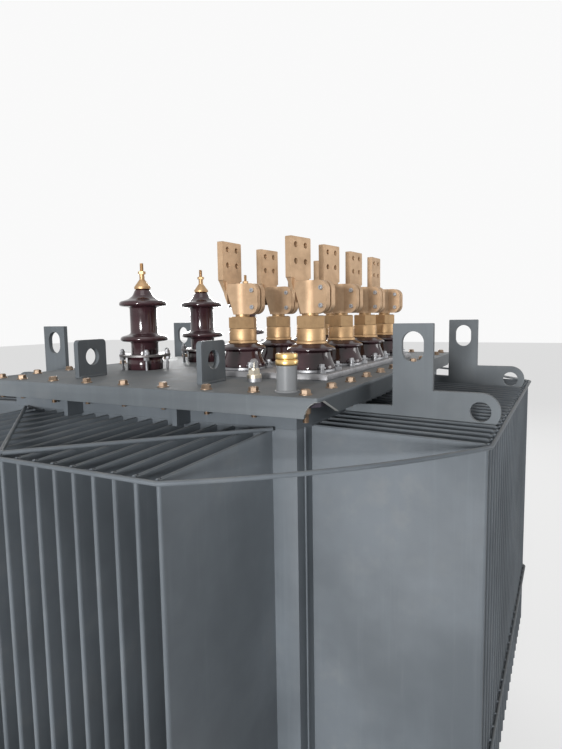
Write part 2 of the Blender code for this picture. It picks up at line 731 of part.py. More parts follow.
def hv_clamp(name):
    """The flat ring that bolts a bushing's foot down to the cover."""
    bore = HV_NECK_RADIUS + HV_CLAMP_BORE_CLEARANCE
    low = HV_FOOT_HEIGHT + SEAT_GAP
    plan = circle((0.0, 0.0), HV_CLAMP_RADIUS, HV_STEPS)
    ring = flat_shape(name, plan, HV_CLAMP_PLATE, (circle((0.0, 0.0), bore, HV_STEPS),))
    ring.data.transform(Matrix.Translation((0.0, 0.0, low)))
    return dress(ring, STEEL)


def hv_terminal(name):
    """Cap, two hexagon nuts and the threaded stud on top of a bushing."""
    low = HV_TOP + SEAT_GAP
    cap_top = low + HV_CAP_HEIGHT
    profile = [
        (0.0, HV_STUD_TOP),
        (HV_STUD_RADIUS, HV_STUD_TOP),
        (HV_STUD_RADIUS, cap_top),
        (2 * HV_STUD_RADIUS, cap_top),
        (HV_CAP_RADIUS, low + HV_CAP_RIM),
        (HV_CAP_RADIUS, low),
        (0.0, low),
    ]
    terminal = turned(name, profile, SMALL_STEPS)
    for i in range(2):
        bottom = cap_top - FUSE / 2 + i * (HV_NUT_HEIGHT + HV_NUT_GAP)
        nut = prism(f"{name}_nut_{i}", 6, HV_NUT_FLATS, bottom, bottom + HV_NUT_HEIGHT, i * math.pi / 7)
        boolean(terminal, nut, "UNION")
    return dress(settled(terminal), BRASS, smooth=True)


def build_hv_bushings():
    makers = (("porcelain", hv_porcelain), ("clamp_ring", hv_clamp), ("terminal", hv_terminal))
    for what, maker in makers:
        first = maker(f"hv_{what}_1")
        for i in range(3):
            piece = first if i == 0 else copy_of(first, f"hv_{what}_{i + 1}")
            piece.location = ((i - 1) * HV_PITCH, HV_ROW_Y, COVER_TOP + SEAT_GAP)


def copy_of(obj, name):
    """Another object with the same mesh."""
    return add_object(name, obj.data)


def lv_porcelain(name):
    """A bell on a low foot ring, under a lip that sheds water."""
    lip_top = LV_LIP_LEVEL + LV_LIP_EDGE / 2
    lip_under = LV_LIP_LEVEL - LV_LIP_EDGE / 2
    foot = LV_SEAT + LV_FOOT_RING
    profile = [
        (0.0, LV_PORCELAIN_TOP),
        (LV_TOP_RADIUS, LV_PORCELAIN_TOP),
        (LV_LIP_RADIUS - LV_LIP_EDGE, lip_top + LV_LIP_EDGE / 2),
        (LV_LIP_RADIUS, lip_top),
        (LV_LIP_RADIUS, lip_under),
        (LV_WAIST_RADIUS, lip_under - LV_LIP_EDGE / 2),
        (LV_FOOT_RADIUS, foot + 2 * LV_FOOT_EDGE),
        (LV_FOOT_RADIUS, foot),
        (LV_FOOT_RING_RADIUS, foot),
        (LV_FOOT_RING_RADIUS, LV_SEAT),
        (0.0, LV_SEAT),
    ]
    return dress(turned(name, profile, LV_STEPS), PORCELAIN, smooth=True)


def lv_stud(name):
    """Washer, brass ring, hexagon nut and the thick stud of a low-voltage bushing."""
    low = LV_PORCELAIN_TOP + SEAT_GAP
    ring_low = low + LV_WASHER
    profile = [
        (0.0, LV_STUD_TOP),
        (LV_STUD_RADIUS, LV_STUD_TOP),
        (LV_STUD_RADIUS, LV_RING_TOP),
        (LV_RING_RADIUS, LV_RING_TOP),
        (LV_RING_RADIUS, ring_low),
        (LV_WASHER_RADIUS, ring_low),
        (LV_WASHER_RADIUS, low),
        (0.0, low),
    ]
    stud = turned(name, profile, LV_STEPS)
    nut = prism(f"{name}_nut", 6, LV_NUT_FLATS, LV_RING_TOP - FUSE / 2, LV_NUT_TOP, math.pi / 9)
    boolean(stud, nut, "UNION")
    return dress(settled(stud), BRASS, smooth=True)


def clamp_plan():
    """Plan of the split clamp: ears towards -Y, web under the palm at +Y, round bore open to the slot."""
    bore = LV_STUD_RADIUS + CLAMP_BORE_CLEARANCE
    half_slot = CLAMP_SLOT / 2
    ear = half_slot + EAR_THICKNESS
    mouth = math.degrees(math.asin(half_slot / bore))
    meet = math.degrees(math.asin(ear / CLAMP_RADIUS))
    right = [(half_slot, -EAR_REACH), (ear, -EAR_REACH)]
    right += [*arc((0.0, 0.0), CLAMP_RADIUS, -90.0 + meet, 0.0, 5), (CLAMP_RADIUS, PALM_BACK)]
    left = [(-CLAMP_RADIUS, PALM_BACK), *arc((0.0, 0.0), CLAMP_RADIUS, 180.0, 270.0 - meet, 5)]
    left += [(-ear, -EAR_REACH), (-half_slot, -EAR_REACH)]
    inside = arc((0.0, 0.0), bore, 270.0 - mouth, -90.0 + mouth, LV_STEPS)
    return [*right, *left, *inside]


def terminal_side():
    """Side view of clamp and palm: the ears are at -X here, and the tail tapers in to the clamp's back."""
    corner = EAR_CORNER
    return [
        (CLAMP_RADIUS, CLAMP_BOTTOM),
        (CLAMP_RADIUS, PALM_BOTTOM - TAIL_DROP),
        (PALM_BACK - TAIL_WAIST_DEPTH, PALM_BOTTOM - TAIL_WAIST_DROP),
        (PALM_BACK, PALM_BOTTOM),
        (PALM_BACK, PALM_TOP + FUSE),
        (PALM_FRONT - FUSE, PALM_TOP + FUSE),
        (PALM_FRONT - FUSE, CLAMP_TOP),
        *arc((corner - EAR_REACH, CLAMP_TOP - corner), corner, 90.0, 180.0, 4),
        *arc((corner - EAR_REACH, CLAMP_BOTTOM + corner), corner, 180.0, 270.0, 4),
    ]


def tail_outline():
    """Front view of the palm's tail, which narrows to the clamp's width."""
    wide, waist = PALM_WIDTH / 2 - TAIL_RECESS, CLAMP_RADIUS - TAIL_RECESS
    low, bend, top = PALM_BOTTOM - TAIL_DROP, PALM_BOTTOM - TAIL_WAIST_DROP, PALM_BOTTOM + FUSE
    right = [(waist, low), (waist, bend), (wide, PALM_BOTTOM), (wide, top)]
    return [*right, *[(-x, z) for x, z in reversed(right)]]


def hip_cut(name, side):
    """A corner pyramid that slopes the clamp's back down to the round wrap on one side."""
    across, rise, depth, spare = CLAMP_RADIUS, CLAMP_HIP_RISE, CLAMP_HIP_DEPTH, FUSE / 2
    reach = 1.0 + spare / across + spare / depth + spare / rise
    corner = Vector((side * (across + spare), across + spare, CLAMP_BOTTOM - spare))
    legs = ((-side * across, 0.0, 0.0), (0.0, -depth, 0.0), (0.0, 0.0, rise))
    points = [corner, *[corner + reach * Vector(leg) for leg in legs]]
    mesh = bpy.data.meshes.new(name)
    mesh.from_pydata([tuple(p) for p in points], [], [(0, 1, 2), (0, 2, 3), (0, 3, 1), (1, 3, 2)])
    return settled(add_object(name, mesh))


def palm_holes():
    top_row = PALM_TOP - PALM_HOLE_TOP_EDGE
    half = PALM_HOLE_PITCH / 2
    rows = (top_row, top_row - PALM_HOLE_PITCH)
    return [circle((sx * half, level), PALM_HOLE_RADIUS, 12) for sx in (-1.0, 1.0) for level in rows]


def lv_terminal(name):
    """A split clamp with two ears, cast in one with a palm of four holes."""
    terminal = flat_shape(name, clamp_plan(), PALM_BOTTOM - CLAMP_BOTTOM)
    terminal.data.transform(Matrix.Translation((0.0, 0.0, CLAMP_BOTTOM)))
    half = PALM_WIDTH / 2
    palm_face = rounded_rectangle((-half, PALM_BOTTOM), (half, PALM_TOP), PALM_CORNER, 1)
    for what, outline, holes, front in (
        ("tail", tail_outline(), (), PALM_FRONT + TAIL_RECESS),
        ("palm", palm_face, palm_holes(), PALM_FRONT),
    ):
        plate = flat_shape(f"{name}_{what}", outline, PALM_BACK - front, holes)
        stand_up(plate, (1.0, 0.0, 0.0), (0.0, 0.0, 1.0), (0.0, PALM_BACK, 0.0))
        boolean(terminal, plate, "UNION")
    side = flat_shape(f"{name}_side", terminal_side(), 4 * CLAMP_RADIUS)
    stand_up(side, (0.0, 1.0, 0.0), (0.0, 0.0, 1.0), (-2 * CLAMP_RADIUS, 0.0, 0.0))
    boolean(terminal, side, "INTERSECT")
    for side_name, sx in (("left", -1.0), ("right", 1.0)):
        boolean(terminal, hip_cut(f"{name}_hip_{side_name}", sx), "DIFFERENCE")
    return dress(settled(terminal), COPPER, smooth=True)


def build_lv_bushings():
    first = {}
    makers = (("porcelain", lv_porcelain), ("stud", lv_stud), ("terminal", lv_terminal))
    rows = (("front", LV_ROWS_Y[0], PALM_TURNS_FRONT), ("back", LV_ROWS_Y[1], PALM_TURNS_BACK))
    for row_name, y, turns in rows:
        for i in range(LV_COLUMNS):
            x = LV_FIRST_X + i * LV_PITCH
            for what, maker in makers:
                name = f"lv_{what}_{row_name}_{i + 1}"
                piece = copy_of(first[what], name) if what in first else maker(name)
                first.setdefault(what, piece)
                piece.location = (x, y, COVER_TOP)
                if what == "terminal":
                    piece.rotation_euler.z = math.radians(turns[i])


def build_lv_plate():
    """The flat plate that the low-voltage bushings stand on."""
    last_x = LV_FIRST_X + (LV_COLUMNS - 1) * LV_PITCH
    low = (LV_FIRST_X - LV_PLATE_MARGIN, LV_ROWS_Y[0] - LV_PLATE_MARGIN, COVER_TOP + SEAT_GAP)
    high = (last_x + LV_PLATE_MARGIN, LV_ROWS_Y[1] + LV_PLATE_MARGIN, COVER_TOP + SEAT_GAP + LV_PLATE)
    return dress(box("lv_mounting_plate", low, high), STEEL)


def build_filler():
    """A short pipe on the cover with a two-step screw cap."""
    pipe_profile = [(0.0, PIPE_HEIGHT), (PIPE_RADIUS, PIPE_HEIGHT), (PIPE_RADIUS, 0.0), (0.0, 0.0)]
    pipe = dress(turned("filler_pipe", pipe_profile, SMALL_STEPS), PAINT, smooth=True)
    pipe.location = (*PIPE_AT, COVER_TOP + SEAT_GAP)
    low = PIPE_HEIGHT + SEAT_GAP
    middle, top = low + PIPE_CAP_HEIGHT / 2, low + PIPE_CAP_HEIGHT
    groove = PIPE_CAP_RADIUS * 0.93
    cap_profile = [
        (0.0, top),
        (groove, top),
        (PIPE_CAP_RADIUS, top - 0.15 * PIPE_CAP_HEIGHT),
        (PIPE_CAP_RADIUS, middle + 0.08 * PIPE_CAP_HEIGHT),
        (groove, middle),
        (PIPE_CAP_RADIUS, middle - 0.08 * PIPE_CAP_HEIGHT),
        (PIPE_CAP_RADIUS, low),
        (0.0, low),
    ]
    cap = dress(turned("filler_cap", cap_profile, SMALL_STEPS), BRASS, smooth=True)
    cap.location = (*PIPE_AT, COVER_TOP + SEAT_GAP)


def build_relief_valve():
    """A small valve: disc, hexagon body and a domed top."""
    dome = arc((0.0, VALVE_TOP - VALVE_DOME_RADIUS), VALVE_DOME_RADIUS, 90.0, 0.0, 4)
    profile = [
        *dome,
        (VALVE_DOME_RADIUS, VALVE_DISC_TOP),
        (VALVE_DISC_RADIUS, VALVE_DISC_TOP),
        (VALVE_DISC_RADIUS, 0.0),
        (0.0, 0.0),
    ]
    profile[0] = (0.0, VALVE_TOP)
    valve = turned("relief_valve", profile, SMALL_STEPS)
    body = prism("relief_valve_hexagon", 6, 2 * VALVE_HEX_RADIUS, VALVE_DISC_TOP - FUSE, VALVE_HEX_TOP)
    boolean(valve, body, "UNION")
    valve = dress(settled(valve), BRASS, smooth=True)
    valve.location = (*VALVE_AT, COVER_TOP + SEAT_GAP)


build_tank()
build_fin_walls()
build_cover()
build_skids()
build_tip_rods("tip_rods_upper", FIN_TIP_TOP - UPPER_ROD_DROP)
build_tip_rods("tip_rods_lower", FIN_TOP - FIN_HEIGHT + LOWER_ROD_RISE)
build_brace_rods()
build_lugs()
build_eyes()
build_hv_bushings()
build_lv_plate()
build_lv_bushings()
build_filler()
build_relief_valve()
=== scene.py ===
"""Looks of an oil-filled power transformer: paint, porcelain, castings, fasteners, welds and the studio.

Lengths are in metres. The long sides face -Y (low voltage) and +Y (high voltage). Heights called levels are
above the cover's top face.
"""

from __future__ import annotations

import json
import logging
import math
import random
from dataclasses import dataclass, field
from enum import Enum
from typing import Any, Callable, ClassVar, Iterable, Sequence, Union

import bmesh
import bpy
from mathutils import Matrix, Vector
from mathutils.geometry import tessellate_polygon

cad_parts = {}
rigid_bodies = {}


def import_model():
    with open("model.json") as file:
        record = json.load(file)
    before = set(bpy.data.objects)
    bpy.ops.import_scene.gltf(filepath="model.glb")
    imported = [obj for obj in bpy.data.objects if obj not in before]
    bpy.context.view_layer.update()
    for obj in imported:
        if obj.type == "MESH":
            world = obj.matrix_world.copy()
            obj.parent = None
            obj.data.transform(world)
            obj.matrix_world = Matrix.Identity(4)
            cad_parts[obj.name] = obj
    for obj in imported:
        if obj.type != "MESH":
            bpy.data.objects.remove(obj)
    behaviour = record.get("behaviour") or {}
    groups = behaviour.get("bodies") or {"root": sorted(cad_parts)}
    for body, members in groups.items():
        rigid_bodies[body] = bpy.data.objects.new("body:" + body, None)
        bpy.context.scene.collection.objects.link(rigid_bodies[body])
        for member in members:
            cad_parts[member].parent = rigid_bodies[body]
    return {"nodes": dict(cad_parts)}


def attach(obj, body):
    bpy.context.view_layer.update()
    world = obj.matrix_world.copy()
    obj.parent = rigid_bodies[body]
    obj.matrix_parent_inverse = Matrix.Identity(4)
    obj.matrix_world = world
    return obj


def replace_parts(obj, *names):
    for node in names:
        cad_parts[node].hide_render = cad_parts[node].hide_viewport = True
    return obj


LOG = logging.getLogger("transformer")
BODY = "root"

Point2 = tuple[float, float]
Point3 = tuple[float, float, float]
Colour = tuple[float, float, float]
Number = Union[float, "Value"]

COVER_TOP = 1.400
COVER_LENGTH = 1.490
COVER_WIDTH = 1.090
HALF_LENGTH = 0.687
HALF_WIDTH = 0.467
FIN_TOP = 1.312
FIN_SLOPE = 0.010
FIN_TIP_TOP = FIN_TOP - FIN_SLOPE
FIN_DEPTH = 0.395
FIN_PITCH = 0.050
FIN_THICKNESS = 0.010
END_FINS = 17
SIDE_FINS = 25
SEAT = 0.0003
FOLD = 0.044
HV_PITCH = 0.3335
ROWS = (("front", -1.0), ("back", 1.0))
ENDS = (("left", -1.0), ("right", 1.0))


class Slot(Enum):
    """The record's material slots."""

    PAINT = "grey_blue_paint"
    PORCELAIN = "brown_porcelain"
    BRASS = "brass"
    ALLOY = "bare_copper_alloy"
    STEEL = "zinc_steel"


class Value:
    """A number that varies over a surface. Its operators add Math nodes."""

    def __init__(self, graph: "Graph", socket: bpy.types.NodeSocket) -> None:
        """Wraps a socket of a graph."""
        self.graph = graph
        self.socket = socket

    def __add__(self, other: Number) -> "Value":
        """Sum."""
        return self.graph.math("ADD", self, other)

    def __radd__(self, other: Number) -> "Value":
        """Sum, the other way round."""
        return self.graph.math("ADD", other, self)

    def __sub__(self, other: Number) -> "Value":
        """Difference."""
        return self.graph.math("SUBTRACT", self, other)

    def __rsub__(self, other: Number) -> "Value":
        """Difference, the other way round."""
        return self.graph.math("SUBTRACT", other, self)

    def __mul__(self, other: Number) -> "Value":
        """Product."""
        return self.graph.math("MULTIPLY", self, other)

    def __rmul__(self, other: Number) -> "Value":
        """Product, the other way round."""
        return self.graph.math("MULTIPLY", other, self)

    def __pow__(self, other: Number) -> "Value":
        """Power."""
        return self.graph.math("POWER", self, other)

    def between(self, low: float, high: float) -> "Value":
        """A smooth step from 0 to 1.

        Args:
            low: Where it leaves 0.
            high: Where it reaches 1.

        Returns:
            The step.
        """
        settings = {"interpolation_type": "SMOOTHSTEP"}
        node = self.graph.node("ShaderNodeMapRange", settings, {0: self, 1: low, 2: high})
        return Value(self.graph, node.outputs[0])


class Graph:
    """The node graph of one material, with its Principled shader, or of the world."""

    def __init__(self, name: str, world: bool = False) -> None:
        """Makes the material or the world.

        Args:
            name: Its name.
            world: Whether it is the world, with its Background shader.
        """
        self.owner = bpy.data.worlds.new(name) if world else bpy.data.materials.new(name)
        self.owner.use_nodes = True
        self.tree = self.owner.node_tree
        self.shader = self.tree.nodes["Background" if world else "Principled BSDF"]

    def node(self, kind: str, settings: dict[str, Any], sockets: dict[Any, Any]) -> bpy.types.Node:
        """Adds a node.

        Args:
            kind: The node's type.
            settings: Its settings, set before its sockets.
            sockets: Values or links by socket name or index.

        Returns:
            The new node.
        """
        node = self.tree.nodes.new(kind)
        for name, value in settings.items():
            setattr(node, name, value)
        for key, value in sockets.items():
            self.feed(node.inputs[key], value)
        return node

    def feed(self, socket: bpy.types.NodeSocket, value: Any) -> None:
        """Links a wrapped or bare socket to an input, or sets the input's value.

        Args:
            socket: The input.
            value: What it takes.
        """
        if isinstance(value, Value):
            self.tree.links.new(value.socket, socket)
        elif isinstance(value, bpy.types.NodeSocket):
            self.tree.links.new(value, socket)
        elif isinstance(value, tuple) and socket.type == "RGBA":
            socket.default_value = (*value, 1.0)
        else:
            socket.default_value = value

    def math(self, operation: str, *terms: Number) -> Value:
        """Adds a Math node on numbers or values."""
        node = self.node("ShaderNodeMath", {"operation": operation}, dict(enumerate(terms)))
        return Value(self, node.outputs[0])

    def place(self) -> bpy.types.NodeSocket:
        """The point on the surface, in the object's own metres."""
        return self.node("ShaderNodeTexCoord", {}, {}).outputs["Object"]

    def stretched(self, scale: Point3) -> bpy.types.NodeSocket:
        """The point on the surface with each axis scaled."""
        node = self.node("ShaderNodeVectorMath", {"operation": "MULTIPLY"}, {0: self.place(), 1: scale})
        return node.outputs[0]

    def axis(self, name: str) -> Value:
        """One coordinate of the point on the surface."""
        node = self.node("ShaderNodeSeparateXYZ", {}, {0: self.place()})
        return Value(self, node.outputs[name])

    def facing(self, name: str) -> Value:
        """One coordinate of the surface's true normal.

        Args:
            name: X, Y or Z.

        Returns:
            The coordinate.
        """
        geometry = self.node("ShaderNodeNewGeometry", {}, {})
        node = self.node("ShaderNodeSeparateXYZ", {}, {0: geometry.outputs["True Normal"]})
        return Value(self, node.outputs[name])

    def noise(self, scale: float, detail: float = 3.0, rough: float = 0.5, at: Any = None) -> Value:
        """Cloudy noise from about 0 to 1.

        Args:
            scale: Clouds per metre.
            detail: Octaves.
            rough: Weight of the finer octaves.
            at: Where it is read, or None for the point on the surface.

        Returns:
            The noise.
        """
        where = self.place() if at is None else at
        sockets = {"Vector": where, "Scale": scale, "Detail": detail, "Roughness": rough}
        return Value(self, self.node("ShaderNodeTexNoise", {}, sockets).outputs[0])

    def cells(self, scale: float) -> Value:
        """Distance to the nearest of scattered points, in cell sizes."""
        node = self.node("ShaderNodeTexVoronoi", {}, {"Vector": self.place(), "Scale": scale})
        return Value(self, node.outputs["Distance"])

    def mix(self, share: Number, first: Any, second: Any) -> bpy.types.NodeSocket:
        """A colour between two colours."""
        node = self.node("ShaderNodeMix", {"data_type": "RGBA"}, {0: share, 6: first, 7: second})
        return node.outputs[2]

    def shown(self) -> Value:
        """Whether a ray shows the surroundings: straight, in a reflection or through something clear.

        Returns:
            1 on such rays and 0 on the others.
        """
        path = self.node("ShaderNodeLightPath", {}, {})
        direct = self.math("MAXIMUM", path.outputs["Is Camera Ray"], path.outputs["Is Glossy Ray"])
        return self.math("MAXIMUM", direct, path.outputs["Is Transmission Ray"])

    def relief(self, height: Value, depth: float) -> None:
        """Gives the shader a bump of a depth in metres."""
        node = self.node("ShaderNodeBump", {}, {"Strength": 1.0, "Distance": depth, "Height": height})
        self.feed(self.shader.inputs["Normal"], node.outputs[0])

    def dress(self, **inputs: Any) -> bpy.types.Material:
        """Sets the shader's inputs.

        Args:
            inputs: Values or links by the input's name, with underscores for spaces.

        Returns:
            The finished material or world.
        """
        for name, value in inputs.items():
            self.feed(self.shader.inputs[name.replace("_", " ")], value)
        return self.owner


class Finish:
    """A finish that makes its material once and then shares it."""

    made: ClassVar[dict[str, bpy.types.Material]] = {}
    slot: ClassVar[Slot]

    def material(self) -> bpy.types.Material:
        """The finish's material, made at its first use.

        Returns:
            The material.
        """
        key = repr(self)
        if key not in Finish.made:
            Finish.made[key] = self.build()
        return Finish.made[key]

    def build(self) -> bpy.types.Material:
        """Makes the material."""
        raise NotImplementedError


@dataclass(frozen=True)
class Enamel(Finish):
    """Sprayed grey-blue enamel with dust, faint runs of rain and a fine orange-peel surface; it can also carry
    a painted highlight on cut edges and a painted shade above a level.
    """

    slot: ClassVar[Slot] = Slot.PAINT
    name: str
    colour: Colour
    dusty: Colour = (0.235, 0.232, 0.222)
    dust: float = 0.45
    streaks: float = 0.18
    gloss: float = 0.44
    # The next two fields paint shade: the level above which the surface turns dark, and that dark colour. This
    # is a painted shade under the cover's folded edge.
    shade_level: float = 9.0
    painted_skirt_shade: Colour = (0.040, 0.034, 0.046)
    # The next two fields paint a highlight: how much of a pale colour goes on the downward-slanting cut edges
    # at the folded edge, and that colour. This is a painted highlight where light would fall on them.
    cut_edge_light: float = 0.0
    bare: Colour = (0.42, 0.42, 0.40)

    def build(self) -> bpy.types.Material:
        """Makes the enamel.

        Returns:
            The material.
        """
        g = Graph(self.name)
        clouds = g.noise(3.1, 4.0, 0.55)
        blotches = g.noise(17.0, 3.0, 0.6)
        runs = g.noise(1.0, 4.0, 0.65, g.stretched((38.0, 38.0, 1.6)))
        fine = g.noise(260.0, 2.0, 0.5)
        grains = g.cells(420.0)
        darker = tuple(c * 0.80 for c in self.colour)
        lighter = tuple(min(1.0, c * 1.13) for c in self.colour)
        base = g.mix(clouds.between(0.30, 0.70), darker, lighter)
        run_mask = runs.between(0.52, 0.74) * (1.0 - g.facing("Z").between(0.3, 0.8)) * self.streaks
        base = g.mix(run_mask, base, tuple(c * 1.45 for c in self.colour))
        up = g.facing("Z").between(0.55, 0.95)
        settled = up * (0.35 + 0.65 * blotches.between(0.35, 0.65)) * self.dust
        film = blotches.between(0.45, 0.75) * clouds.between(0.4, 0.7) * 0.22
        specks = (1.0 - grains.between(0.04, 0.12)) * fine.between(0.56, 0.66) * 0.35
        dusted = g.mix(settled + film, base, self.dusty)
        worn = g.mix(specks, dusted, tuple(c * 1.2 for c in self.dusty))
        # Painted highlight: downward-slanting faces above the folded edge's lower end are turned pale, as if
        # lit.
        slanting = g.facing("Z").between(-0.99, -0.95) * (1.0 - g.facing("Z").between(-0.35, -0.25))
        raised = g.axis("Z").between(COVER_TOP - FOLD - 0.0005, COVER_TOP - FOLD + 0.0005)
        edge_lit = g.mix(slanting * raised * self.cut_edge_light, worn, self.bare)
        # Painted shade: everything above the given level turns dark, as shade under the cover's folded edge.
        final = g.mix(g.axis("Z").between(self.shade_level, self.shade_level + 0.002), edge_lit, self.painted_skirt_shade)
        rough = self.gloss + 0.20 * settled + 0.14 * blotches + 0.10 * run_mask
        g.relief(fine * 0.35 + g.noise(55.0, 2.0) * 0.65, 0.00022)
        return g.dress(Base_Color=final, Roughness=rough, IOR=1.48, Specular_IOR_Level=0.24)


@dataclass(frozen=True)
class Glaze(Finish):
    """Dark brown porcelain glaze, thinner and redder in places, under a clear gloss."""

    slot: ClassVar[Slot] = Slot.PORCELAIN
    name: str
    deep: Colour = (0.036, 0.014, 0.018)
    thin: Colour = (0.072, 0.029, 0.034)
    gloss: float = 0.10

    def build(self) -> bpy.types.Material:
        """Makes the glaze.

        Returns:
            The material.
        """
        g = Graph(self.name)
        pools = g.noise(21.0, 3.0, 0.55)
        rings = g.noise(1.0, 2.0, 0.5, g.stretched((9.0, 9.0, 130.0)))
        dust = g.noise(70.0, 3.0, 0.6).between(0.55, 0.8) * g.facing("Z").between(0.2, 0.9)
        base = g.mix(pools.between(0.35, 0.7) * 0.25 + rings.between(0.4, 0.8) * 0.15, self.deep, self.thin)
        final = g.mix(dust * 0.20, base, (0.26, 0.24, 0.23))
        rough = self.gloss + 0.06 * pools + 0.25 * dust
        g.relief(pools * 0.6 + rings * 0.4, 0.00016)
        return g.dress(Base_Color=final, Roughness=rough, Coat_Weight=0.20, Coat_Roughness=0.06, IOR=1.45)


@dataclass(frozen=True)
class CastAlloy(Finish):
    """Bare cast copper alloy: a sandy skin, tan with tarnish, brighter where it was machined."""

    slot: ClassVar[Slot] = Slot.ALLOY
    name: str
    colour: Colour
    tarnish: Colour
    grain: float = 0.00028
    gloss: float = 0.48

    def build(self) -> bpy.types.Material:
        """Makes the casting's skin.

        Returns:
            The material.
        """
        g = Graph(self.name)
        clouds = g.noise(24.0, 4.0, 0.6)
        spots = g.noise(95.0, 3.0, 0.65)
        sand = g.noise(900.0, 3.0, 0.6)
        pits = 1.0 - g.cells(520.0).between(0.05, 0.30)
        base = g.mix(clouds.between(0.35, 0.72) * 0.75, self.colour, self.tarnish)
        warm = g.mix(spots.between(0.55, 0.75) * 0.35, base, tuple(c * 1.18 for c in self.colour))
        rough = self.gloss + 0.16 * clouds + 0.12 * spots
        g.relief(sand * 0.6 + spots * 0.5 - pits * 0.25, self.grain)
        return g.dress(Base_Color=warm, Roughness=rough, Metallic=0.82, IOR=1.45)


@dataclass(frozen=True)
class TurnedMetal(Finish):
    """Machined metal with fine rings round its axis and light stains."""

    name: str
    colour: Colour
    stain: Colour
    gloss: float = 0.24
    rings: float = 900.0
    depth: float = 0.00006
    slot: Slot = Slot.BRASS

    def build(self) -> bpy.types.Material:
        """Makes the machined surface.

        Returns:
            The material.
        """
        g = Graph(self.name)
        stains = g.noise(48.0, 4.0, 0.6)
        lines = g.noise(1.0, 2.0, 0.5, g.stretched((18.0, 18.0, self.rings)))
        marks = g.noise(340.0, 2.0, 0.5)
        base = g.mix(stains.between(0.42, 0.74) * 0.7, self.colour, self.stain)
        final = g.mix(marks.between(0.62, 0.72) * 0.25, base, tuple(min(1.0, c * 1.25) for c in self.colour))
        rough = self.gloss + 0.20 * stains + 0.08 * lines
        g.relief(lines * 0.8 + marks * 0.2, self.depth)
        return g.dress(Base_Color=final, Roughness=rough, Metallic=1.0)


@dataclass(frozen=True)
class ClearDome(Finish):
    """Clear moulded plastic: a see-through gloss with a haze of fine scratches."""

    slot: ClassVar[Slot] = Slot.BRASS
    name: str
    cover: float = 0.22

    def build(self) -> bpy.types.Material:
        """Makes the clear plastic.

        Returns:
            The material.
        """
        g = Graph(self.name)
        haze = g.noise(150.0, 3.0, 0.6)
        g.relief(haze, 0.00004)
        colour = g.mix(haze, (0.46, 0.48, 0.49), (0.60, 0.62, 0.63))
        return g.dress(Base_Color=colour, Roughness=0.06 + 0.10 * haze, Alpha=self.cover + 0.10 * haze)


PAINT = Enamel("tank_enamel", (0.118, 0.135, 0.152))
# The tank body is painted dark above the folded edge's lower end, a painted shade under the cover's edge.
TANK_PAINT = Enamel("tank_body_enamel", (0.118, 0.135, 0.152), shade_level=COVER_TOP - 0.043)
COVER_PAINT = Enamel("cover_enamel", (0.135, 0.152, 0.166), dust=0.42)
# The cover plate's cut edges get a painted highlight.
PLATE_PAINT = Enamel("cover_plate_enamel", (0.135, 0.152, 0.166), dust=0.42, cut_edge_light=0.9)
FILLER_PAINT = Enamel("filler_enamel", (0.265, 0.275, 0.285), dust=0.25, streaks=0.08, gloss=0.30)
PORCELAIN = Glaze("brown_glaze")
ALLOY = CastAlloy("cast_alloy", (0.50, 0.35, 0.225), (0.385, 0.265, 0.165))
BRASS = TurnedMetal("turned_brass", (0.45, 0.30, 0.165), (0.34, 0.22, 0.12), gloss=0.36)
BRIGHT_BRASS = TurnedMetal("bright_brass", (0.72, 0.50, 0.22), (0.50, 0.33, 0.13), gloss=0.18)
VALVE_METAL = TurnedMetal("valve_metal", (0.66, 0.60, 0.49), (0.44, 0.38, 0.29), gloss=0.24)
PLATE_STEEL = TurnedMetal(
    "plate_steel", (0.31, 0.31, 0.32), (0.22, 0.215, 0.215), gloss=0.42, rings=40.0, slot=Slot.STEEL)
RING_STEEL = TurnedMetal(
    "ring_steel", (0.17, 0.16, 0.16), (0.11, 0.10, 0.10), gloss=0.38, rings=60.0, slot=Slot.STEEL)
ZINC = TurnedMetal(
    "yellow_zinc", (0.27, 0.20, 0.145), (0.17, 0.12, 0.085), gloss=0.38, rings=500.0, slot=Slot.STEEL)
BRIGHT_ZINC = TurnedMetal(
    "bright_zinc", (0.40, 0.405, 0.42), (0.27, 0.27, 0.28), gloss=0.32, rings=500.0, slot=Slot.STEEL)
CLEAR = ClearDome("clear_dome")


def arc(centre: Point2, radius: float, start: float, end: float, steps: int) -> list[Point2]:
    """Points on an arc.

    Args:
        centre: Its centre.
        radius: Its radius.
        start: First angle in degrees.
        end: Last angle in degrees.
        steps: Number of chords.

    Returns:
        The points, both ends included.
    """
    angles = [math.radians(start + (end - start) * i / steps) for i in range(steps + 1)]
    return [(centre[0] + radius * math.cos(a), centre[1] + radius * math.sin(a)) for a in angles]


def circle(centre: Point2, radius: float, steps: int = 48) -> list[Point2]:
    """Points round a circle, the first not repeated."""
    return arc(centre, radius, 0.0, 360.0 * (steps - 1) / steps, steps - 1)


def polygon(sides: int, flats: float, turn: float = 0.0) -> list[Point2]:
    """Corners of a regular polygon.

    Args:
        sides: Number of sides.
        flats: Width across flats.
        turn: Its turn in radians.

    Returns:
        The corners.
    """
    radius = flats / 2 / math.cos(math.pi / sides)
    angles = [turn + math.tau * (i + 0.5) / sides for i in range(sides)]
    return [(radius * math.cos(a), radius * math.sin(a)) for a in angles]


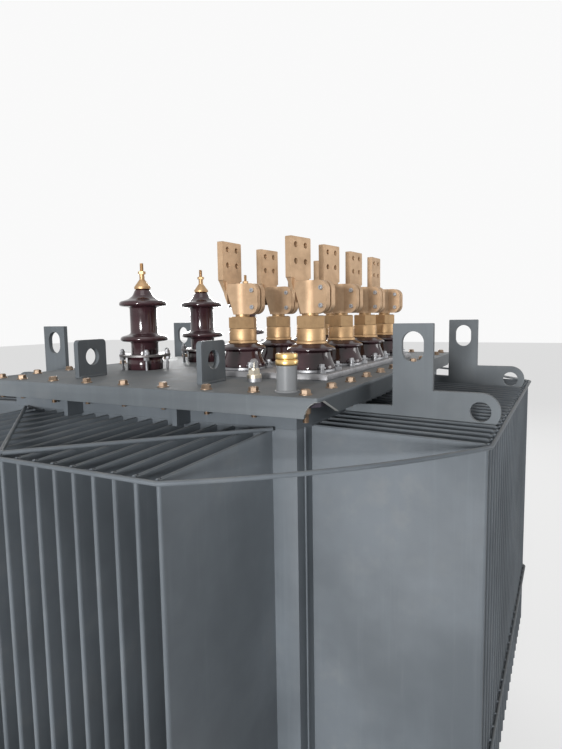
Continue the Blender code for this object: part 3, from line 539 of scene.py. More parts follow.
def rounded_box(low: Point2, high: Point2, radius: float, steps: int = 6) -> list[Point2]:
    """An outline with four round corners.

    Args:
        low: Its lower left corner.
        high: Its upper right corner.
        radius: The corners' radius.
        steps: Chords in each corner.

    Returns:
        The outline.
    """
    (x0, y0), (x1, y1) = low, high
    return [
        *arc((x1 - radius, y0 + radius), radius, -90.0, 0.0, steps),
        *arc((x1 - radius, y1 - radius), radius, 0.0, 90.0, steps),
        *arc((x0 + radius, y1 - radius), radius, 90.0, 180.0, steps),
        *arc((x0 + radius, y0 + radius), radius, 180.0, 270.0, steps),
    ]


def shift(x: float, y: float, z: float, turn: float = 0.0) -> Matrix:
    """A place, turned about Z by an angle in radians."""
    return Matrix.Translation((x, y, z)) @ Matrix.Rotation(turn, 4, "Z")


def upright(x_to: Point3, origin: Point3) -> Matrix:
    """A frame whose Y runs up.

    Args:
        x_to: The level direction of its X.
        origin: Its origin.

    Returns:
        The frame.
    """
    x_axis, up = Vector(x_to), Vector((0.0, 0.0, 1.0))
    turn = Matrix((x_axis, up, x_axis.cross(up))).transposed().to_4x4()
    return Matrix.Translation(origin) @ turn


def fin_centres(count: int) -> list[float]:
    """Places of the fins along a wall, either side of its middle."""
    return [(i - (count - 1) / 2) * FIN_PITCH for i in range(count)]


@dataclass(frozen=True)
class Fin:
    """One fin: the side of the tank that it stands on and its place along that wall."""

    side: float
    wall: float
    along: float
    runs_in_y: bool

    def point(self, reach: float, level: float) -> Point3:
        """A point on the fin's middle plane, by its distance from the wall and its height."""
        out = self.side * (self.wall + reach)
        return (self.along, out, level) if self.runs_in_y else (out, self.along, level)


def fins() -> list[Fin]:
    """Every fin of the tank.

    Returns:
        The fins in order, those of the end walls first.
    """
    walls = ((END_FINS, HALF_LENGTH, False), (SIDE_FINS, HALF_WIDTH, True))
    return [Fin(side, wall, along, runs_in_y) for count, wall, runs_in_y in walls
            for side in (-1.0, 1.0) for along in fin_centres(count)]


class Shape:
    """Gathers simple forms into one mesh."""

    def __init__(self) -> None:
        """Starts empty."""
        self.work = bmesh.new()

    def turned(self, profile: Sequence[Point2], at: Matrix, steps: int = 48) -> "Shape":
        """Adds a solid of revolution about Z.

        Args:
            profile: (radius, height) points, top to bottom, the ends on the axis.
            at: Where it stands.
            steps: Facets round it.

        Returns:
            The shape itself.
        """
        rings: list[list[bmesh.types.BMVert]] = []
        for radius, height in profile:
            count = 1 if radius < 1e-7 else steps
            angles = [math.tau * i / steps for i in range(count)]
            places = [(radius * math.cos(a), radius * math.sin(a), height) for a in angles]
            rings.append([self.work.verts.new(at @ Vector(p)) for p in places])
        for upper, lower in zip(rings, rings[1:]):
            for i in range(steps):
                j = (i + 1) % steps
                corners = [upper[i % len(upper)], lower[i % len(lower)],
                           lower[j % len(lower)], upper[j % len(upper)]]
                unique = list(dict.fromkeys(corners))
                if len(unique) > 2:
                    self.work.faces.new(unique)
        return self

    def drum(self, at: Matrix, radius: float, low: float, high: float, steps: int,
             top: float = 0.0) -> "Shape":
        """Adds a cylinder, or a cone where its top has a radius of its own.

        Args:
            at: Where it stands.
            radius: Its radius.
            low: Its lower face's height.
            high: Its upper face's height.
            steps: Facets round it.
            top: The upper face's radius, or 0 for the same.

        Returns:
            The shape itself.
        """
        return self.turned([(0.0, high), (top or radius, high), (radius, low), (0.0, low)], at, steps)

    def plate(self, outline: Sequence[Point2], low: float, high: float, at: Matrix,
              holes: Iterable[Sequence[Point2]] = ()) -> "Shape":
        """Adds a flat plate, or any prism, with holes through it.

        Args:
            outline: Its outline in its own XY.
            low: Its lower face's Z.
            high: Its upper face's Z.
            at: Where it lies.
            holes: Outlines of its holes.

        Returns:
            The shape itself.
        """
        loops = [list(outline), *[list(hole) for hole in holes]]
        flat = [[Vector((x, y, 0.0)) for x, y in loop] for loop in loops]
        points = [p for loop in flat for p in loop]
        lower = [self.work.verts.new(at @ Vector((p.x, p.y, low))) for p in points]
        upper = [self.work.verts.new(at @ Vector((p.x, p.y, high))) for p in points]
        for a, b, c in tessellate_polygon(flat):
            self.work.faces.new((upper[a], upper[b], upper[c]))
            self.work.faces.new((lower[c], lower[b], lower[a]))
        start = 0
        for loop in loops:
            count = len(loop)
            for i in range(count):
                a, b = start + i, start + (i + 1) % count
                self.work.faces.new((lower[a], lower[b], upper[b], upper[a]))
            start += count
        return self

    def tube(self, path: Sequence[Point3], radius: float, sides: int = 12, closed: bool = False,
             ripple: Callable[[int], float] = lambda i: 1.0) -> "Shape":
        """Adds a round bar or a bead along a path.

        Args:
            path: Points of its centre line.
            radius: Its radius.
            sides: Facets round it.
            closed: Whether it joins its own start.
            ripple: Factor on the radius at each point.

        Returns:
            The shape itself.
        """
        points = [Vector(p) for p in path]
        count = len(points)
        rings = []
        side = None
        for i, here in enumerate(points):
            before = points[i - 1] if closed or i else here
            after = points[(i + 1) % count] if closed or i < count - 1 else here
            along = (after - before).normalized()
            if side is None:
                side = along.orthogonal().normalized()
            side = (side - along * side.dot(along)).normalized()
            across = along.cross(side)
            size = radius * ripple(i)
            turns = [math.tau * k / sides for k in range(sides)]
            spokes = [math.cos(a) * side + math.sin(a) * across for a in turns]
            rings.append([self.work.verts.new(here + size * spoke) for spoke in spokes])
        pairs = list(zip(rings, rings[1:]))
        if closed:
            pairs.append((rings[-1], rings[0]))
        for first, second in pairs:
            for k in range(sides):
                j = (k + 1) % sides
                self.work.faces.new((first[k], first[j], second[j], second[k]))
        if not closed:
            self.work.faces.new(list(reversed(rings[0])))
            self.work.faces.new(rings[-1])
        return self

    def hex_bolt(self, at: Matrix, flats: float, head: float, washer: float, turn: float = 0.0) -> "Shape":
        """Adds a washer with a chamfered hexagon head on it, standing on its own Z = 0.

        Args:
            at: Where it stands.
            flats: Width across the head's flats.
            head: The head's height.
            washer: The washer's radius.
            turn: Turn of the head in radians.

        Returns:
            The shape itself.
        """
        thick, crown = flats * 0.13, flats * 0.47
        rim = [(0.0, thick), (washer * 0.96, thick), (washer, thick * 0.7), (washer, 0.0), (0.0, 0.0)]
        self.turned(rim, at, 28)
        self.plate(polygon(6, flats, turn), thick, thick + head * 0.86, at)
        return self.drum(at, crown, thick + head * 0.85, thick + head, 28, crown * 0.93)

    def thread(self, at: Matrix, radius: float, low: float, high: float, pitch: float) -> "Shape":
        """Adds a stud with the ridges of its thread.

        Args:
            at: Where its axis stands.
            radius: Its outer radius.
            low: Its lower end.
            high: Its upper end.
            pitch: Distance between ridges.

        Returns:
            The shape itself.
        """
        count = max(2, int((high - low) / pitch))
        step = (high - low) / count
        profile = [(0.0, high), (radius * 0.80, high)]
        root = radius * 0.88
        for i in range(count):
            top = high - i * step
            profile += [(radius, top - step * 0.35), (radius, top - step * 0.55), (root, top - step * 0.92)]
        profile += [(root, low), (0.0, low)]
        return self.turned(profile, at, 28)

    def bare(self, name: str, flat: float = 0.0) -> bpy.types.Object:
        """Turns what was gathered into a bare object.

        Args:
            name: The object's name.
            flat: Greatest angle in degrees at which faces are joined into one, or 0.

        Returns:
            The object, not yet part of anything.
        """
        work = self.work
        bmesh.ops.remove_doubles(work, verts=work.verts, dist=1e-6)
        bmesh.ops.recalc_face_normals(work, faces=work.faces)
        if flat:
            bmesh.ops.dissolve_limit(work, angle_limit=math.radians(flat), verts=work.verts, edges=work.edges)
        mesh = bpy.data.meshes.new(name)
        work.to_mesh(mesh)
        work.free()
        obj = bpy.data.objects.new(name, mesh)
        bpy.context.scene.collection.objects.link(obj)
        return obj

    def piece(self, name: str, finish: Finish, bevel: float = 0.0, angle: float = 35.0) -> bpy.types.Object:
        """Turns what was gathered into a dressed piece that rides with the part.

        Args:
            name: The piece's name.
            finish: Its finish.
            bevel: Width of its rounded edges, or 0.
            angle: Sharpest angle in degrees that is shaded smooth.

        Returns:
            The piece.
        """
        obj = self.bare(name, 0.6 if bevel else 0.0)
        mesh = obj.data
        mesh.shade_smooth()
        if bevel:
            round_edges(obj, bevel)
        else:
            mesh.set_sharp_from_angle(angle=math.radians(angle))
        return dress(obj, finish)


def round_edges(obj: bpy.types.Object, width: float, segments: int = 2) -> None:
    """Rounds an object's sharp edges.

    Args:
        obj: The object.
        width: Width of the rounded edges.
        segments: Facets across each.
    """
    bevel = obj.modifiers.new("rounded_edges", "BEVEL")
    bevel.width = width
    bevel.segments = segments
    bevel.limit_method = "ANGLE"
    bevel.angle_limit = math.radians(38.0)
    bevel.harden_normals = True
    bevel.use_clamp_overlap = True


def dress(obj: bpy.types.Object, finish: Finish) -> bpy.types.Object:
    """Gives a piece its finish and lets it ride with the part.

    Args:
        obj: The piece.
        finish: Its finish.

    Returns:
        The piece.
    """
    obj.data.materials.clear()
    obj.data.materials.append(finish.material())
    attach(obj, BODY)
    LOG.info("piece %s", obj.name)
    return obj


def repaint(node: str, finish: Finish) -> None:
    """Gives a CAD node that keeps its own shape a finish.

    Args:
        node: The CAD node.
        finish: Its finish.
    """
    obj = FRAME["nodes"][node]
    for slot in obj.material_slots:
        slot.material = finish.material()
    if not obj.material_slots:
        obj.data.materials.append(finish.material())


def softened(node: str, name: str, finish: Finish, bevel: float) -> bpy.types.Object:
    """A copy of a CAD node with its edges rounded, which stands for it.

    Args:
        node: The CAD node.
        name: The new piece's name.
        finish: Its finish.
        bevel: Width of its rounded edges.

    Returns:
        The new piece.
    """
    shape = Shape()
    shape.work.from_mesh(FRAME["nodes"][node].data)
    obj = shape.piece(name, finish, bevel)
    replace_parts(obj, node)
    return obj


def bead_along(shape: Shape, start: Point3, end: Point3, radius: float, seed: int) -> None:
    """Adds a weld bead with its ripples between two points.

    Args:
        shape: The shape that gathers it.
        start: Its first point.
        end: Its last point.
        radius: Its mean radius.
        seed: What its unevenness follows from.
    """
    rng = random.Random(seed)
    a, b = Vector(start), Vector(end)
    count = max(4, int((b - a).length / (radius * 0.85)))
    swell = [1.0 + 0.10 * (-1) ** i + rng.uniform(-0.07, 0.07) for i in range(count + 1)]
    swell[0] = swell[-1] = 0.55
    path = [tuple(a.lerp(b, i / count)) for i in range(count + 1)]
    shape.tube(path, radius, 8, ripple=lambda i: swell[i])


class Row(Enum):
    """The two rows of low-voltage bushings."""

    FRONT = "front"
    BACK = "back"


@dataclass
class Tank:
    """The tank: corrugated walls, collar, rim with brackets, floor and skids."""

    wall_bevel: float = 0.0012
    tip_bevel: float = 0.0042
    skid_bevel: float = 0.002
    seam_radius: float = 0.0030
    corner_bead_x: float = 0.645
    tank_bottom: float = 0.1323
    lip: float = 0.004
    end_seam_radius: float = 0.0028
    end_seam_start: float = 0.004
    end_seam_sink: float = 0.0006

    def build(self) -> None:
        """Makes the tank's pieces."""
        repaint("tank_body", TANK_PAINT)
        for side in ("left", "right", "front", "back"):
            wall = softened(f"fin_wall_{side}", f"corrugated_wall_{side}", PAINT, self.wall_bevel)
            self.round_tips(wall)
        for side in ("front", "back"):
            softened(f"skid_{side}", f"channel_skid_{side}", PAINT, self.skid_bevel)
        self.seams()
        self.tip_welds()

    def round_tips(self, wall: bpy.types.Object) -> None:
        """Rounds the outer edges of a wall's fins, ahead of its other edges.

        Args:
            wall: The wall.
        """
        near_x, near_y = HALF_LENGTH + FIN_DEPTH / 2, HALF_WIDTH + FIN_DEPTH / 2
        tips = [v.index for v in wall.data.vertices if abs(v.co.x) > near_x or abs(v.co.y) > near_y]
        group = wall.vertex_groups.new(name="fin_tips")
        group.add(tips, 1.0, "REPLACE")
        bevel = wall.modifiers.new("round_tips", "BEVEL")
        bevel.width = self.tip_bevel
        bevel.segments = 3
        bevel.limit_method = "VGROUP"
        bevel.vertex_group = group.name
        bevel.harden_normals = True
        wall.modifiers.move(len(wall.modifiers) - 1, 0)

    def seams(self) -> None:
        """Weld beads up the corners."""
        shape = Shape()
        top = FIN_TOP + self.lip
        corners = [(sx, sy) for sx in (-1.0, 1.0) for sy in (-1.0, 1.0)]
        for seed, (sx, sy) in enumerate(corners, 10):
            x, y = sx * self.corner_bead_x, sy * (HALF_WIDTH + self.seam_radius * 0.2)
            bead_along(shape, (x, y, self.tank_bottom), (x, y, top), self.seam_radius, seed)
        shape.piece("corner_weld_beads", PAINT)

    def tip_welds(self) -> None:
        """Thin closing seams along the upper ends of the fins."""
        shape = Shape()
        for fin in fins():
            inner = fin.point(self.end_seam_start, FIN_TOP - self.end_seam_sink)
            outer = fin.point(FIN_DEPTH - FIN_THICKNESS, FIN_TIP_TOP - self.end_seam_sink)
            shape.tube([inner, outer], self.end_seam_radius, 8)
        shape.piece("fin_end_seams", PAINT)


@dataclass
class TipRods:
    """Round rods along the fin tips, with a weld at each fin, and the braces over the end fins."""

    radius: float = 0.0047
    middle: float = 0.005
    upper_drop: float = 0.004
    lower_drop: float = 0.766
    bulge: float = 0.036
    corner_steps: int = 24
    wall_gap: float = 0.012
    brace_offset: float = 0.0038

    def reach(self) -> float:
        """Distance of the rod's middle from the wall."""
        return FIN_DEPTH + SEAT + self.middle

    def corner(self, start: Vector, end: Vector) -> list[Vector]:
        """Points of the shallow arc across one corner of the tank.

        Args:
            start: Where the arc starts, in plan.
            end: Where it ends.

        Returns:
            The points, both ends included.
        """
        chord = end - start
        half = chord.length / 2
        radius = (half * half + self.bulge**2) / (2 * self.bulge)
        middle = (start + end) / 2
        outward = Vector((-chord.y, chord.x)).normalized()
        if outward.dot(middle) < 0.0:
            outward = -outward
        centre = middle + outward * (self.bulge - radius)
        swing = math.asin(half / radius)
        along = chord.normalized()
        turns = [swing * (2 * i / self.corner_steps - 1) for i in range(self.corner_steps + 1)]
        return [centre + radius * (math.sin(a) * along + math.cos(a) * outward) for a in turns]

    def ring(self, level: float) -> list[Point3]:
        """The rod's path round the tank.

        Args:
            level: Its height over the ground.

        Returns:
            The points of its centre line.
        """
        x, y = HALF_LENGTH + self.reach(), HALF_WIDTH + self.reach()
        last_end = fin_centres(END_FINS)[-1] + FIN_THICKNESS / 2
        last_side = fin_centres(SIDE_FINS)[-1] + FIN_THICKNESS / 2
        points: list[Point3] = []
        for sx, sy in ((1, 1), (-1, 1), (-1, -1), (1, -1)):
            on_end = Vector((sx * x, sy * last_end))
            on_side = Vector((sx * last_side, sy * y))
            pair = (on_end, on_side) if sx * sy > 0 else (on_side, on_end)
            points += [(p.x, p.y, level) for p in self.corner(*pair)]
        return points

    def build(self) -> None:
        """Makes the rods, the braces and their welds."""
        for name, drop in (("tip_rods_upper", self.upper_drop), ("tip_rods_lower", self.lower_drop)):
            rod = Shape().tube(self.ring(FIN_TIP_TOP - drop), self.radius, 16, closed=True)
            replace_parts(rod.piece(f"{name}_round", PAINT, angle=60.0), name)
        self.braces()
        self.welds()

    def braces(self) -> None:
        """The straight rods in a V over the end fins."""
        slope = FIN_SLOPE / FIN_DEPTH
        level = FIN_TOP + SEAT + self.middle
        corner = fin_centres(END_FINS)[-1] + FIN_PITCH / 4
        tip_reach = FIN_DEPTH - self.middle
        for end, sx in ENDS:
            for row, sy in ROWS:
                wall = (sx * (HALF_LENGTH + self.wall_gap), sy * corner, level - slope * self.wall_gap)
                tip = (sx * (HALF_LENGTH + tip_reach), sy * self.brace_offset, level - slope * tip_reach)
                rod = Shape().tube([wall, tip], self.radius, 16)
                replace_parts(rod.piece(f"brace_{end}_{row}", PAINT, angle=60.0), f"brace_rod_{end}_{row}")

    def welds(self) -> None:
        """Small weld beads where the rods cross the fins."""
        shape = Shape()
        rng = random.Random(4)
        for fin in fins():
            for drop in (self.upper_drop, self.lower_drop):
                reach = FIN_DEPTH + rng.uniform(0.0, 0.0015)
                for rise in (-self.radius, self.radius):
                    if drop == self.upper_drop and rise > 0:
                        reach = FIN_DEPTH - 0.001
                    size = rng.uniform(0.0030, 0.0041)
                    blob = [(0.0, size * 0.8), (size * 0.7, size * 0.55), (size, 0.0),
                            (size * 0.7, -size * 0.55), (0.0, -size * 0.8)]
                    place = fin.point(reach, FIN_TIP_TOP - drop + rise * 0.92)
                    shape.turned(blob, Matrix.Translation(place), 10)
        shape.piece("rod_weld_beads", PAINT, angle=80.0)


@dataclass
class Cover:
    """The cover plate with folded edges, its bolts, and the plate for the low-voltage bushings."""

    edge_inset: float = 0.039
    end_bolts: int = 9
    end_first: float = -0.499
    end_pitch: float = 0.130
    side_bolts: int = 10
    side_first: float = -0.576
    side_pitch: float = 0.128
    bolt_flats: float = 0.020
    bolt_head: float = 0.010
    washer: float = 0.0145
    bolt_lift: float = 0.0002
    end_radius: float = 0.0068
    thread_pitch: float = 0.00175
    thread_top_drop: float = 0.027
    end_drop: Point2 = (0.056, 0.063)
    nut_top_drop: float = 0.0276
    nut_bottom_drop: float = 0.0405
    cover_bevel: float = 0.0014
    plate_bevel: float = 0.0012

    def bolt_places(self) -> list[Point2]:
        """Places of the bolts round the edge.

        Returns:
            The places in plan.
        """
        x, y = COVER_LENGTH / 2 - self.edge_inset, COVER_WIDTH / 2 - self.edge_inset
        ends = [min(self.end_first + i * self.end_pitch, -self.end_first) for i in range(self.end_bolts)]
        places = [(sx * x, along) for sx in (-1.0, 1.0) for along in ends]
        sides = [self.side_first + i * self.side_pitch for i in range(self.side_bolts)]
        return places + [(along, sy * y) for sy in (-1.0, 1.0) for along in sides]

    def build(self) -> None:
        """Makes the cover's pieces."""
        softened("cover", "cover_plate", PLATE_PAINT, self.cover_bevel)
        softened("lv_mounting_plate", "bushing_plate", PLATE_STEEL, self.plate_bevel)
        self.bolts()

    def bolts(self) -> None:
        """Hexagon bolts with washers above, and their threaded ends below the folded edge.

        The long sides' outermost bolts show no end in the corner reliefs.
        """
        heads, ends = Shape(), Shape()
        rng = random.Random(21)
        for x, y in self.bolt_places():
            head_at = shift(x, y, COVER_TOP + self.bolt_lift)
            heads.hex_bolt(head_at, self.bolt_flats, self.bolt_head, self.washer, rng.uniform(0.0, 1.0))
            low = COVER_TOP - rng.uniform(*self.end_drop)
            nut = polygon(6, self.bolt_flats, rng.uniform(0.0, 1.0))
            if abs(abs(x) + self.side_first) > 0.001:
                at = shift(x, y, 0.0)
                ends.thread(at, self.end_radius, low, COVER_TOP - self.thread_top_drop, self.thread_pitch)
                ends.plate(nut, COVER_TOP - self.nut_bottom_drop, COVER_TOP - self.nut_top_drop, at)
        heads.piece("cover_bolts", ZINC, angle=30.0)
        ends.piece("cover_bolt_ends", ZINC, angle=30.0)


@dataclass
class LiftingGear:
    """The four lugs that stand out of the long sides and the four eyes on the cover."""

    lug_thickness: float = 0.015
    lug_x: float = 0.375
    standoff: float = 0.052
    leg_width: float = 0.103
    leg_top: float = 0.147
    leg_corner: float = 0.003
    slot_width: float = 0.056
    slot_height: float = 0.078
    slot_level: float = 0.088
    arm_top_drop: float = 0.023
    arm_radius: float = 0.046
    arm_hole: float = 0.025
    tip_clearance: float = 0.001
    foot_top_drop: float = 0.066
    foot_drop: float = 0.235
    eye_length: float = 0.110
    eye_height: float = 0.110
    eye_thickness: float = 0.016
    eye_corner: float = 0.012
    eye_hole: float = 0.025
    eye_hole_level: float = 0.060
    eye_end_inset: float = 0.106
    eye_spacing: float = 0.432
    eye_row_y: float = 0.0445
    bevel: float = 0.0012
    bead_radius: float = 0.0040
    bead_inset: float = 0.003
    bead_rise: float = 0.0022

    def lug_outline(self) -> tuple[list[Point2], list[list[Point2]]]:
        """Side view of a lug: outward from the cover's edge, then up from its top face.

        Returns:
            The outline and the outlines of its two holes.
        """
        wall = HALF_WIDTH + SEAT - COVER_WIDTH / 2
        leg_in, leg_out = self.standoff, self.standoff + self.leg_width
        tip = FIN_DEPTH + HALF_WIDTH - COVER_WIDTH / 2 - self.tip_clearance
        eye = (tip - self.arm_radius, -self.arm_top_drop - self.arm_radius)
        corner = self.leg_corner
        outline = [
            (wall, -self.foot_drop),
            *arc(eye, self.arm_radius, -70.0, 90.0, 28),
            (leg_out, -self.arm_top_drop),
            *arc((leg_out - corner, self.leg_top - corner), corner, 0.0, 90.0, 6),
            *arc((leg_in + corner, self.leg_top - corner), corner, 90.0, 180.0, 6),
            (leg_in, -self.foot_top_drop),
            (wall, -self.foot_top_drop),
        ]
        radius = self.slot_width / 2
        straight = self.slot_height / 2 - radius
        across = self.standoff + self.leg_width / 2
        slot = arc((across, self.slot_level + straight), radius, 0.0, 180.0, 24)
        slot += arc((across, self.slot_level - straight), radius, 180.0, 360.0, 24)
        return outline, [slot, circle(eye, self.arm_hole)]

    def build(self) -> None:
        """Makes the lugs, the eyes and their welds."""
        outline, holes = self.lug_outline()
        for row, sy in ROWS:
            for end, sx in ENDS:
                x = sx * self.lug_x - sy * self.lug_thickness / 2
                at = upright((0.0, sy, 0.0), (x, sy * COVER_WIDTH / 2, COVER_TOP))
                shape = Shape().plate(outline, 0.0, self.lug_thickness, at, holes)
                lug = shape.piece(f"lug_{row}_{end}", COVER_PAINT, self.bevel)
                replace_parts(lug, f"lifting_lug_{row}_{end}")
        self.eyes()

    def eyes(self) -> None:
        """The upright plates on the cover, with weld beads along both feet."""
        corner, beads = self.eye_corner, Shape()
        outline = [
            (0.0, 0.0),
            (self.eye_length, 0.0),
            *arc((self.eye_length - corner, self.eye_height - corner), corner, 0.0, 90.0, 8),
            *arc((corner, self.eye_height - corner), corner, 90.0, 180.0, 8),
        ]
        hole = circle((self.eye_length / 2, self.eye_hole_level), self.eye_hole)
        for seed, (row, sy) in enumerate(ROWS, 40):
            for end, sx in ENDS:
                x = sx * (COVER_LENGTH / 2 - self.eye_end_inset) - (sx + 1.0) / 2 * self.eye_length
                y = self.eye_row_y + sy / 2 * self.eye_spacing + self.eye_thickness / 2
                at = upright((1.0, 0.0, 0.0), (x, y, COVER_TOP + SEAT))
                shape = Shape().plate(outline, 0.0, self.eye_thickness, at, [hole])
                eye = shape.piece(f"eye_{row}_{end}", COVER_PAINT, self.bevel)
                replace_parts(eye, f"cover_eye_{row}_{end}")
                level = COVER_TOP + self.bead_rise
                first, last = x + self.bead_inset, x + self.eye_length - self.bead_inset
                for foot in (y, y - self.eye_thickness):
                    bead_along(beads, (first, foot, level), (last, foot, level), self.bead_radius, seed)
        beads.piece("eye_weld_beads", COVER_PAINT)


@dataclass
class HighVoltageBushing:
    """One shedded bushing with its clamp ring, studs, cap, nuts and threaded terminal."""

    number: int
    x: float
    y: float = 0.271
    foot: float = 0.059
    foot_height: float = 0.043
    neck: float = 0.0445
    shed: float = 0.078
    lower_shed: float = 0.103
    upper_shed: float = 0.219
    top_radius: float = 0.024
    top: float = 0.266
    clamp_radius: float = 0.084
    clamp_plate: float = 0.008
    stud_circle: float = 0.0735
    stud_turn: float = 44.0
    cap_radius: float = 0.0266
    cap_rim: float = 0.009
    cap_height: float = 0.031
    neck_radius: float = 0.0083
    nut_flats: float = 0.022
    nut_level: float = 0.3165
    nut_height: float = 0.0095
    nut_chamfer: float = 0.0013
    stud: float = 0.006
    stud_top: float = 0.352
    stud_pitch: float = 0.0018
    clamp_bevel: float = 0.0012
    clamp_stud: float = 0.0048
    clamp_pitch: float = 0.0016
    clamp_washer: float = 0.0100
    clamp_washer_height: float = 0.0016
    clamp_flats: float = 0.0165
    clamp_nut: float = 0.0100
    clamp_nut_gap: float = 0.0004
    clamp_nut_twist: float = 0.4

    @property
    def at(self) -> Matrix:
        """Where it stands."""
        return shift(self.x, self.y, COVER_TOP + SEAT)

    def shed_profile(self, level: float, body: Sequence[Point2]) -> list[Point2]:
        """Rounded profile of one shed.

        Args:
            level: Height of the rim's middle.
            body: (radius, height over the middle) points of what runs down into it.

        Returns:
            The profile, from the body above to the neck below.
        """
        neck, rim = self.neck, self.shed
        crown = [(rim - 0.016, 0.0108), (rim - 0.008, 0.0090), (rim - 0.0030, 0.0060), (rim - 0.0006, 0.0018),
                 (rim, -0.0016), (rim - 0.0012, -0.0050), (rim - 0.0045, -0.0076), (rim - 0.010, -0.0088)]
        under = [((neck + rim) / 2, -0.0098), (neck + 0.006, -0.0112), (neck + 0.0015, -0.0130),
                 (neck, -0.0165)]
        return [(radius, level + rise) for radius, rise in [*body, *crown, *under]]

    def build(self) -> None:
        """Makes the bushing's pieces."""
        shoulder = [(self.top_radius + 0.003, 0.041), (self.top_radius + 0.0065, 0.032), (0.0355, 0.0245),
                    (0.048, 0.0155)]
        waist = [(self.neck, 0.024), (self.neck + 0.001, 0.0185), (self.neck + 0.0045, 0.0150)]
        profile = [
            (0.0, self.top),
            (self.top_radius - 0.002, self.top),
            (self.top_radius, self.top - 0.002),
            *self.shed_profile(self.upper_shed, shoulder),
            *self.shed_profile(self.lower_shed, waist),
            (self.neck, self.foot_height + 0.010),
            (self.neck + 0.001, self.foot_height + 0.0015),
            (self.foot - 0.003, self.foot_height),
            (self.foot, self.foot_height - 0.003),
            (self.foot, 0.003),
            (self.foot - 0.002, 0.0),
            (0.0, 0.0),
        ]
        body = Shape().turned(profile, self.at, 72)
        glazed = body.piece(f"hv_glazed_body_{self.number}", PORCELAIN, angle=50.0)
        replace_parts(glazed, f"hv_porcelain_{self.number}")
        self.clamp()
        self.terminal()

    def clamp(self) -> None:
        """The ring over the foot, held down by four studs with domed nuts."""
        n, at, low = self.number, self.at, self.foot_height + SEAT
        top = low + self.clamp_plate
        hole = circle((0.0, 0.0), self.neck + 0.002, 64)
        ring = Shape().plate(circle((0.0, 0.0), self.clamp_radius, 64), low, top, at, [hole])
        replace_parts(ring.piece(f"hv_clamp_{n}", RING_STEEL, self.clamp_bevel), f"hv_clamp_ring_{n}")
        washer_top, nut_top = top + self.clamp_washer_height, top + self.clamp_nut
        dome = [(0.0, 0.0185), (0.0030, 0.0180), (0.0058, 0.0160), (0.0074, 0.0125), (0.0076, self.clamp_nut)]
        dome = [(radius, top + rise) for radius, rise in dome] + [(0.0, nut_top)]
        studs = Shape()
        for i in range(4):
            turn = math.radians(90.0 * i + self.stud_turn)
            place = (self.stud_circle * math.cos(turn), self.stud_circle * math.sin(turn), 0.0)
            spot = at @ Matrix.Translation(place)
            studs.thread(spot, self.clamp_stud, 0.0, low, self.clamp_pitch)
            studs.drum(spot, self.clamp_washer, top, washer_top, 24)
            studs.plate(polygon(6, self.clamp_flats, turn), washer_top, nut_top, spot)
            studs.turned(dome, spot, 24)
            lower = polygon(6, self.clamp_flats, turn + self.clamp_nut_twist)
            studs.plate(lower, low - self.clamp_nut, low - self.clamp_nut_gap, spot)
        studs.piece(f"hv_clamp_studs_{n}", BRIGHT_ZINC, angle=32.0)

    def terminal(self) -> None:
        """Conical cap with its neck, a nut and the threaded stud."""
        n, at, low = self.number, self.at, self.top + SEAT
        r, neck = self.cap_radius, self.neck_radius
        cap_top, rim = low + self.cap_height, low + self.cap_rim
        nut_low, nut_top = self.nut_level, self.nut_level + self.nut_height
        cap = [
            (0.0, nut_low),
            (neck, nut_low),
            (neck, cap_top + 0.0015),
            (neck + 0.0015, cap_top),
            (r - 0.0015, rim + 0.001),
            (r, rim - 0.001),
            (r, low + 0.0015),
            (r - 0.0015, low),
            (0.0, low),
        ]
        flats = self.nut_flats
        shape = Shape().turned(cap, at, 48)
        shape.thread(at, self.stud, nut_low - 0.001, self.stud_top, self.stud_pitch)
        shape.plate(polygon(6, flats, math.pi / 6), nut_low, nut_top - 0.0012, at)
        shape.drum(at, flats * 0.49, nut_top - self.nut_chamfer, nut_top, 28, flats * 0.45)
        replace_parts(shape.piece(f"hv_cap_{n}", BRASS, angle=32.0), f"hv_terminal_{n}")


